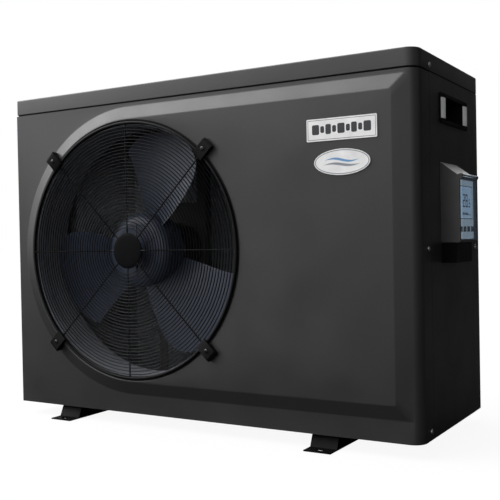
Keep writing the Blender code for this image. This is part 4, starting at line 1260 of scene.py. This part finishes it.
def build_pad(name, material, y0, y1, z0, z1, face, outward):
    """End pad: a bulged face with shallow flutes."""
    top, base = face - outward * 0.15, face - outward * 0.8

    def crown(y, sink=0.0):
        share = (y - (y0 + y1) / 2) / ((y1 - y0) / 2)
        return top + outward * (PAD_BULGE * (1 - share * share) - sink), y

    outline = []
    for i in range(PAD_FLUTES):
        start = y0 + (y1 - y0) * i / PAD_FLUTES
        end = y0 + (y1 - y0) * (i + 1) / PAD_FLUTES
        outline += [crown(start + 0.25), crown((start + end) / 2 - 0.25), crown(end - 0.75)]
        if i < PAD_FLUTES - 1:
            outline += [crown(end - 0.5, FLUTE_DEPTH), crown(end, FLUTE_DEPTH)]
    outline += [(base, y1 - 0.75), (base, y0 + 0.25)]
    mesh = bmesh.new()
    add_prism(mesh, outline, z0 + 7.5, z1 - 9.0)
    finish_mesh(name, mesh, material, smooth=25)


def build_grip(side):
    node = "handle_cup_" + side
    (x0, y0, z0), (x1, y1, z1) = extent(node)
    outward, face, deep = (1, x1, x0) if side == "right" else (-1, x0, x1)
    cup_y0, cup_y1 = y0 + GRIP_END, y1 - GRIP_END
    cup_z0, cup_z1 = z0 + 6.5, z1 - 6.5

    def block(outline, first, second):
        return add_prism, outline, *sorted((first, second)), "x"

    add_shape, *args = block(rounded(y0, z0, y1, z1, 5.0), face, face - outward * 2.1)
    mesh = bmesh.new()
    add_shape(mesh, *args)
    grip = finish_mesh(node + "_moulding", mesh, BLACK, replaces=node)
    shell = rounded(cup_y0 - 4, cup_z0 - 3.9, cup_y1 + 4, cup_z1 + 3.9, 6.0, 6)
    unite(grip, *block(shell, face - outward * 0.8, deep))
    hollow = rounded(cup_y0, cup_z0, cup_y1, cup_z1, 4.0, 6)
    cut(grip, *block(hollow, face + outward * 5, deep + outward * 3.0))
    # recesses for the end pads
    for start, end in ((y0 + 3.0, cup_y0 - 1.5), (cup_y1 + 1.5, y1 - 3.0)):
        recess = rounded(start, z0 + 3.4, end, z1 - 3.4, 2.0, 5)
        cut(grip, *block(recess, face + outward * 3, face - outward * 0.9))
    apply_cuts(grip, sharp=30)
    add_bevel(grip, 0.5)
    # the left pads take the darker copy of the pad grey: painted shade against the light from the left
    material = PAD if side == "right" else PAD_LEFT_PAINTED_SHADE
    for k, (start, end) in enumerate(((y0 + 1.6, cup_y0 - 3.6), (cup_y1 + 0.6, y1 - 4.6))):
        build_pad(f"{node}_pad_{k + 1}", material, start, end, z0, z1, face, outward)


build_grip("right")
build_grip("left")


# =============================================================== seam rails and coil baffles
def build_rails():
    """Rails behind the casing's joints, which the panels' edges lie on."""
    mesh = bmesh.new()
    rings = []
    for inset, z in ((2.1, 598.8), (3.1, 598.8), (3.1, 609.0), (2.1, 609.0)):
        rings.append(add_verts(mesh, cabinet_outline(inset, 12), "z", z))
    bridge_round(mesh, rings)
    finish_mesh("lid_seam_rail", mesh, BLACK, smooth=40)
    mesh = bmesh.new()
    right, left, rear = (WIDTH - 3.6, WIDTH - 2.4), (2.4, 3.6), (344.2, 345.4)
    for xs, ys in (
        (right, (51, 64)), (right, (286, 299)), (left, (13, 24)), (left, (320, 331)),
        ((20, 30), rear), ((551, 563), rear),
    ):
        add_box(mesh, xs, ys, (26.5, 596))
    finish_mesh("panel_seam_strips", mesh, INNER, bevel=0.2)


def build_baffles():
    """The sheets that close the coil's ends; each ends in a lip that laps over the coil."""
    (x0, y0, z0), (_, y1, z1) = extent("evaporator_coil")
    rear = [
        (20.0, 343.2), (20.0, 342.2), (x0 + 0.4, y1 + 0.4),
        (x0 + 9.0, y1 + 0.4), (x0 + 9.0, y1 + 1.2), (x0 + 0.8, y1 + 1.2),
    ]
    front = [
        (5.4, 80.0), (6.2, 79.2), (x0 + 0.6, y0 - 1.9),
        (x0 + 12.0, y0 - 1.9), (x0 + 12.0, y0 - 0.9), (x0 + 0.2, y0 - 0.9),
    ]
    mesh = bmesh.new()
    add_prism(mesh, rear, z0, z1)
    add_prism(mesh, front, z0, z1)
    finish_mesh("coil_baffles", mesh, INNER, bevel=0.15)


build_rails()
build_baffles()

# =============================================================== labels: plain printed shapes
INK_BACK, INK_FRONT = 0.12, -0.06  # the print's back and front, from the label's face
BORDER_INSET, BORDER_LINE, BORDER_GAP = 2.2, 0.7, 0.01
PILL_WIDTHS = (13, 7, 10, 7, 13, 7, 10, 7, 13)


def print_shapes(name, outlines, face, material):
    mesh = bmesh.new()
    for outline in outlines:
        add_prism(mesh, outline, face + INK_BACK, face + INK_FRONT, "y")
    finish_mesh(name, mesh, material)


def build_nameplate():
    """A line border round a plain row of pill shapes."""
    (x0, face, z0), (x1, _, z1) = extent("nameplate")
    left, right = x0 + BORDER_INSET, x1 - BORDER_INSET
    low, high = z0 + BORDER_INSET, z1 - BORDER_INSET
    line, step = BORDER_LINE, BORDER_LINE + BORDER_GAP
    bars = [
        [(a0, b0), (a1, b0), (a1, b1), (a0, b1)]
        for a0, a1, b0, b1 in (
            (left, right, low, low + line),
            (left, right, high - line, high),
            (left, left + line, low + step, high - step),
            (right - line, right, low + step, high - step),
        )
    ]
    print_shapes("nameplate_border", bars, face, INK_DARK)
    middle_z = (z0 + z1) / 2 + 0.5
    gap = ((x1 - x0 - 20.0) - sum(PILL_WIDTHS)) / (len(PILL_WIDTHS) - 1)
    pills, x = [], x0 + 10.0
    for i, width in enumerate(PILL_WIDTHS):
        half = 8.2 if i % 2 == 0 else 5.6
        pills.append(rounded(x, middle_z - half, x + width, middle_z + half, 2.6, 6))
        x += width + gap
    print_shapes("nameplate_marks", pills, face, INK_DARK)


def build_badge():
    """An oval ring round two wave bands, blue over grey."""
    (x0, face, z0), (x1, _, z1) = extent("oval_badge")
    x, _, z = middle("oval_badge")
    half_x, half_z = (x1 - x0) / 2, (z1 - z0) / 2

    def ellipse(radius_x, radius_z, count=72):
        angles = [2 * math.pi * i / count for i in range(count)]
        return [(x + radius_x * math.cos(t), z + radius_z * math.sin(t)) for t in angles]

    mesh = bmesh.new()
    outer, inner = ellipse(half_x - 1.6, half_z - 1.5), ellipse(half_x - 3.2, half_z - 3.0)
    add_frame(mesh, outer, inner, face + INK_BACK, face + INK_FRONT, "y")
    finish_mesh("oval_badge_ring", mesh, INK_GREY)
    steps = 40
    # name, ink, height over the centre, wave height, half thickness, half length
    for name, ink, lift, wave, half, reach in (
        ("oval_badge_wave_blue", INK_BLUE, 3.2, 2.6, 2.0, 31.0),
        ("oval_badge_wave_grey", INK_GREY, -4.2, 2.0, 2.2, 33.0),
    ):
        def edge_point(i, side):
            centre = z + lift + wave * math.sin(math.pi * 2 * i / steps)
            thickness = side * half * math.sin(math.pi * i / steps)
            return x - reach + 2 * reach * i / steps, centre + thickness

        band = [edge_point(i, 1) for i in range(steps + 1)]
        band += [edge_point(i, -1) for i in range(steps - 1, 0, -1)]
        print_shapes(name, [band], face, ink)


build_nameplate()
build_badge()


# =============================================================== screws with a cross recess
def head_profile(radius, base, top, outward=1):
    return [
        (radius, base), (radius, base + outward * 0.7), (radius * 0.72, top - outward * 0.35),
        (radius * 0.35, top - outward * 0.04), (0, top),
    ]


def build_case_screw(node):
    """A screw in the cabinet's right side, with its shank."""
    (x0, _, z0), (top, _, z1) = extent(node)
    centre = middle(node)[1:]
    base = WIDTH + 0.35
    profile = [(0, x0), (1.9, x0), (1.9, base)] + head_profile((z1 - z0) / 2, base, top)
    rounding = [0, 0.3, 0, 0.25, 0.5, 0.5, 0.3, 0]
    mesh = bmesh.new()
    add_revolved(mesh, round_profile(profile, rounding, 3), "x", centre, 36)
    screw = finish_mesh(node + "_head", mesh, ZINC, replaces=node, smooth=40)
    cut_cross(screw, "x", centre, (top - 1.3, top + 2), halves=(0.42, 2.3))
    apply_cuts(screw, sharp=35)


def build_panel_screws(name, axis, face, outward, centres, radius=4.1):
    """Pan-head screws standing on a panel's outer face."""
    base, top = face + outward * 0.1, face + outward * 2.4
    profile = [(0, base)] + head_profile(radius, base, top, outward)
    profile = round_profile(profile, [0, 0.25, 0.4, 0.5, 0.3, 0], 3)
    mesh = bmesh.new()
    for centre in centres:
        add_revolved(mesh, profile, axis, centre, 32)
    screws = finish_mesh(name, mesh, ZINC, smooth=40)
    span = tuple(sorted((top - outward * 1.2, top + outward * 2)))
    for centre in centres:
        cut_cross(screws, axis, centre, span, halves=(0.42, 2.2))
    apply_cuts(screws, sharp=35)


for spot in ("lid", "mid", "low", "rear"):
    build_case_screw("case_screw_" + spot)

# centres are (x, z) on the rear face and (y, z) on the left face
REAR_SCREWS = [(567, 16), (567, 302), (567, 588), (838, 16), (838, 588)]
POST_SCREWS = [(12, 16), (12, 302), (12, 588)]
LEFT_SCREWS = [(30, 14), (30, 589), (314, 14), (314, 589)]
build_panel_screws("rear_panel_screws", "y", DEPTH, 1, REAR_SCREWS)
build_panel_screws("rear_post_screws", "y", DEPTH, 1, POST_SCREWS, radius=3.6)
build_panel_screws("left_panel_screws", "x", 0.0, -1, LEFT_SCREWS)
build_panel_screws("lid_screws_left", "x", 0.0, -1, [(42, 616), (308, 616)])
build_panel_screws("lid_screws_rear", "y", DEPTH, 1, [(60, 616), (436, 616), (812, 616)])

# =============================================================== controller marks
DIGIT_BARS = {"2": "abged", "8": "abcdefg", "5": "afgcd"}


def add_digit(mesh, digit, xs, y, z, width, height, bar):
    """A seven-bar digit with its lower left corner at (y, z)."""
    gap = 0.35
    bars = {  # y0, z0, y1, z1
        "a": (gap, height - bar, width - gap, height),
        "g": (gap, height / 2 - bar / 2, width - gap, height / 2 + bar / 2),
        "d": (gap, 0, width - gap, bar),
        "f": (0, height / 2 + gap, bar, height - gap),
        "b": (width - bar, height / 2 + gap, width, height - gap),
        "e": (0, gap, bar, height / 2 - gap),
        "c": (width - bar, gap, width, height / 2 - gap),
    }
    for name in DIGIT_BARS[digit]:
        y0, z0, y1, z1 = bars[name]
        add_box(mesh, xs, (y + y0, y + y1), (z + z0, z + z1))


def build_display():
    (_, y0, z0), (face, y1, z1) = extent("controller_display")
    xs = (face + 0.02, face + 0.12)
    z = (z0 + z1) / 2 - 8.0
    mesh = bmesh.new()
    for digit, y, width, height, bar in (
        ("2", 12, 11.0, 22.0, 2.4), ("8", 27, 11.0, 22.0, 2.4), ("5", 45, 7.5, 14, 1.8)
    ):
        add_digit(mesh, digit, xs, y0 + y, z, width, height, bar)
    add_box(mesh, xs, (y0 + 40.5, y0 + 42.7), (z, z + 2.2))
    # a bar scale along the bottom of the display, its first eight bars taller
    for k in range(12):
        start = y0 + 4 * k
        add_box(mesh, xs, (start + 9, start + 11.6), (z0 + 4.5, z0 + (8.5 if k < 8 else 6.0)))
    finish_mesh("display_digits", mesh, INK_DARK)
    # bezel line round the display
    plate = extent("controller_faceplate")[1][0]
    outer, inner, side = 2.2, 1.0, 0.95
    mesh = bmesh.new()
    for ys, zs in (
        ((y0 - outer, y1 + outer), (z0 - outer, z0 - inner)),
        ((y0 - outer, y1 + outer), (z1 + inner, z1 + outer)),
        ((y0 - outer, y0 - inner), (z0 - side, z1 + side)),
        ((y1 + inner, y1 + outer), (z0 - side, z1 + side)),
    ):
        add_box(mesh, (plate + 0.02, plate + 0.3), ys, zs)
    finish_mesh("display_bezel_line", mesh, INK_DARK, bevel=0.08)


def add_ring_mark(mesh, xs, y, z, inner, start, sweep, count, outer=2.4):
    """A ring, or part of one, in count pieces; start and sweep are in degrees."""
    for i in range(count):
        a, b = (math.radians(start + sweep * j / count) for j in (i, i + 1))
        corners = ((inner, a), (outer, a), (outer, b), (inner, b))
        piece = [(y + r * math.cos(t), z + r * math.sin(t)) for r, t in corners]
        add_prism(mesh, piece, *xs, "x")


def build_key_mark(key):
    face = extent(key)[1][0]
    _, y, z = middle(key)
    xs = (face + 0.01, face + 0.16)
    mesh = bmesh.new()
    if key == "button_power":
        add_ring_mark(mesh, xs, y, z, inner=1.7, start=125, sweep=290, count=28)
        add_box(mesh, xs, (y - 0.35, y + 0.35), (z + 0.4, z + 2.9))
    elif key == "button_mode":
        add_ring_mark(mesh, xs, y, z, inner=1.6, start=0, sweep=360, count=32)
    else:
        way = 1 if key == "button_up" else -1
        arrow = [(y - 2.4, z - 1.5 * way), (y + 2.4, z - 1.5 * way), (y, z + 2.2 * way)]
        add_prism(mesh, arrow, *xs, "x")
    finish_mesh(key + "_mark", mesh, PLATE, key)


KEYS = ("button_power", "button_mode", "button_down", "button_up")
build_display()
for key in KEYS:
    build_key_mark(key)

# =============================================================== finishes of the frame's own solids
GROMMETS = tuple("compressor_grommet_" + letter for letter in "abc")
# material, bevel width in mm, nodes
FINISHES = (
    (COAT_PAN, 0.4, ("base_pan",)),
    (COAT, 0.45, ("right_side_panel", "left_side_panel")),
    (COAT, 0.4, ("rear_corner_post",)),
    (FOOT, 0.7, ("foot_rail_left", "foot_rail_right")),
    (ZINC, 0.4, ("fan_shaft",)),
    (ZINC, 0.5, ("fan_lock_nut",)),
    (ZINC, 0.2, ("lid_hinge_pin",)),
    # the motor bracket and partition take the dark inner tone: painted shade inside the cabinet
    (INNER, 0.3, ("motor_bracket", "partition_panel")),
    (COPPER, 0.2, ("coil_manifold",)),
    (COPPER, 0.0, ("discharge_pipe", "suction_pipe")),
    (ENAMEL, 0.6, ("compressor", "accumulator")),
    (RUBBER, 0.5, GROMMETS),
    (BRASS, 0.3, ("reversing_valve", "expansion_valve")),
    (PVC, 0.8, ("heat_exchanger",)),
    (GALV, 0.3, ("electrical_box",)),
    (PCB, 0.2, ("control_board",)),
    (BLACK, 0.5, ("terminal_block",)),
    (HOUSING, 0.8, ("controller_housing",)),
    (MEMBRANE, 0.25, ("controller_faceplate",)),
    (LCD, 0.25, ("controller_display",)),
    (CLEAR, 0.25, ("controller_lid",)),
    (KEY, 0.5, KEYS),
    (PLATE, 0.3, ("nameplate", "oval_badge")),
)
for material, bevel, names in FINISHES:
    for name in names:
        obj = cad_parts[name]
        obj.data.materials.clear()
        obj.data.materials.append(material)
        obj.data.shade_smooth()
        set_sharp(obj, 32)
        if bevel:
            add_bevel(obj, bevel, angle=35)

remove_tools()


# =============================================================== camera
def build_camera():
    """Looks from the front right, at about half the cabinet's height."""
    data = bpy.data.cameras.new("camera")
    camera = bpy.data.objects.new("camera", data)
    bpy.context.scene.collection.objects.link(camera)
    data.sensor_width = 36.0
    data.lens = 59.96
    data.clip_start, data.clip_end = 0.05, 60.0
    forward = Vector((-0.51286, 0.85838, -0.01346))
    right = Vector((0.85844, 0.51259, -0.01892))
    up = Vector((0.00934, 0.02126, 0.99973))
    rotation = Matrix((right, up, -forward)).transposed().to_4x4()
    # metres from the cabinet's front right lower corner
    position = place(WIDTH, 0, 0) + Vector((0.44028, -1.25423, 0.33438))
    camera.matrix_world = Matrix.Translation(position) @ rotation
    bpy.context.scene.camera = camera


build_camera()

# =============================================================== floor, world and view
FLOOR_HALF = 25


def build_floor():
    """Pale to the camera, dark to the light that the product reflects."""
    half = FLOOR_HALF
    corners = ((-half, -half), (half, -half), (half, half), (-half, half))
    mesh = bmesh.new()
    mesh.faces.new([mesh.verts.new((x, y, 0.0)) for x, y in corners])
    floor = to_object("floor", mesh)
    m = new_shader("pale_floor", bare=True)
    seen = m.node("ShaderNodeLightPath").outputs["Is Camera Ray"]
    # what the product sees of the floor: a little lighter in front of it than behind
    front = m.remap(m.geometry("Position", "Y"), (0.2, -1.2), interpolation_type="SMOOTHSTEP")
    reflected = m.mix(front, (0.03, 0.03, 0.031, 1), (0.062, 0.062, 0.063, 1))
    colour = m.mix(seen, reflected, (0.9, 0.9, 0.9, 1))
    diffuse = m.node("ShaderNodeBsdfDiffuse", {"Color": colour}).outputs["BSDF"]
    glow = m.node("ShaderNodeEmission", {"Strength": 1.0}).outputs["Emission"]
    surface = m.mix_shader(m.math("MULTIPLY", seen, 0.92), diffuse, glow)
    m.node("ShaderNodeOutputMaterial", {"Surface": surface})
    floor.data.materials.append(m.owner)


# Soft studio light: broad glows in the surround, brightest above and to the left of the front.
GLOWS = (
    # direction, full within degrees, gone beyond degrees, strength
    ((-0.73, -0.42, 0.60), 10, 35, 4.9),
    ((-0.45, -0.25, 0.86), 12, 42, 3.0),
    ((-0.38, -0.91, 0.02), 15, 60, 0.90),
    ((-0.97, -0.22, 0.10), 8, 30, 1.1),
    ((-0.55, 0.66, 0.50), 12, 50, 3.6),
    ((0.25, -0.96, 0.08), 12, 46, 0.9),
    ((0.90, -0.30, 0.30), 15, 50, 0.25),
)
AMBIENT = 0.028


def build_world():
    """The glows light the product; the camera sees plain white."""
    world = bpy.data.worlds.new("studio")
    bpy.context.scene.world = world
    m = Shader(world, bare=True)
    incoming = m.node("ShaderNodeNewGeometry").outputs["Incoming"]
    total = AMBIENT
    for direction, inner, outer, strength in GLOWS:
        toward = tuple(-Vector(direction).normalized())
        inputs = {0: incoming, 1: toward}
        dot = m.node("ShaderNodeVectorMath", inputs, operation="DOT_PRODUCT").outputs["Value"]
        limits = (math.cos(math.radians(outer)), math.cos(math.radians(inner)))
        glow = m.remap(dot, limits, (0.0, strength), interpolation_type="SMOOTHSTEP")
        total = m.math("ADD", glow, total)
    lit = m.node("ShaderNodeBackground", {"Strength": total}).outputs["Background"]
    plain = m.node("ShaderNodeBackground", {"Color": (1, 1, 1, 1)}).outputs["Background"]
    seen = m.node("ShaderNodeLightPath").outputs["Is Camera Ray"]
    m.node("ShaderNodeOutputWorld", {"Surface": m.mix_shader(seen, lit, plain)})


build_floor()
build_world()
view = bpy.context.scene.view_settings
view.view_transform = "Standard"
view.look = "None"
view.exposure = 0.0
view.gamma = 1.0
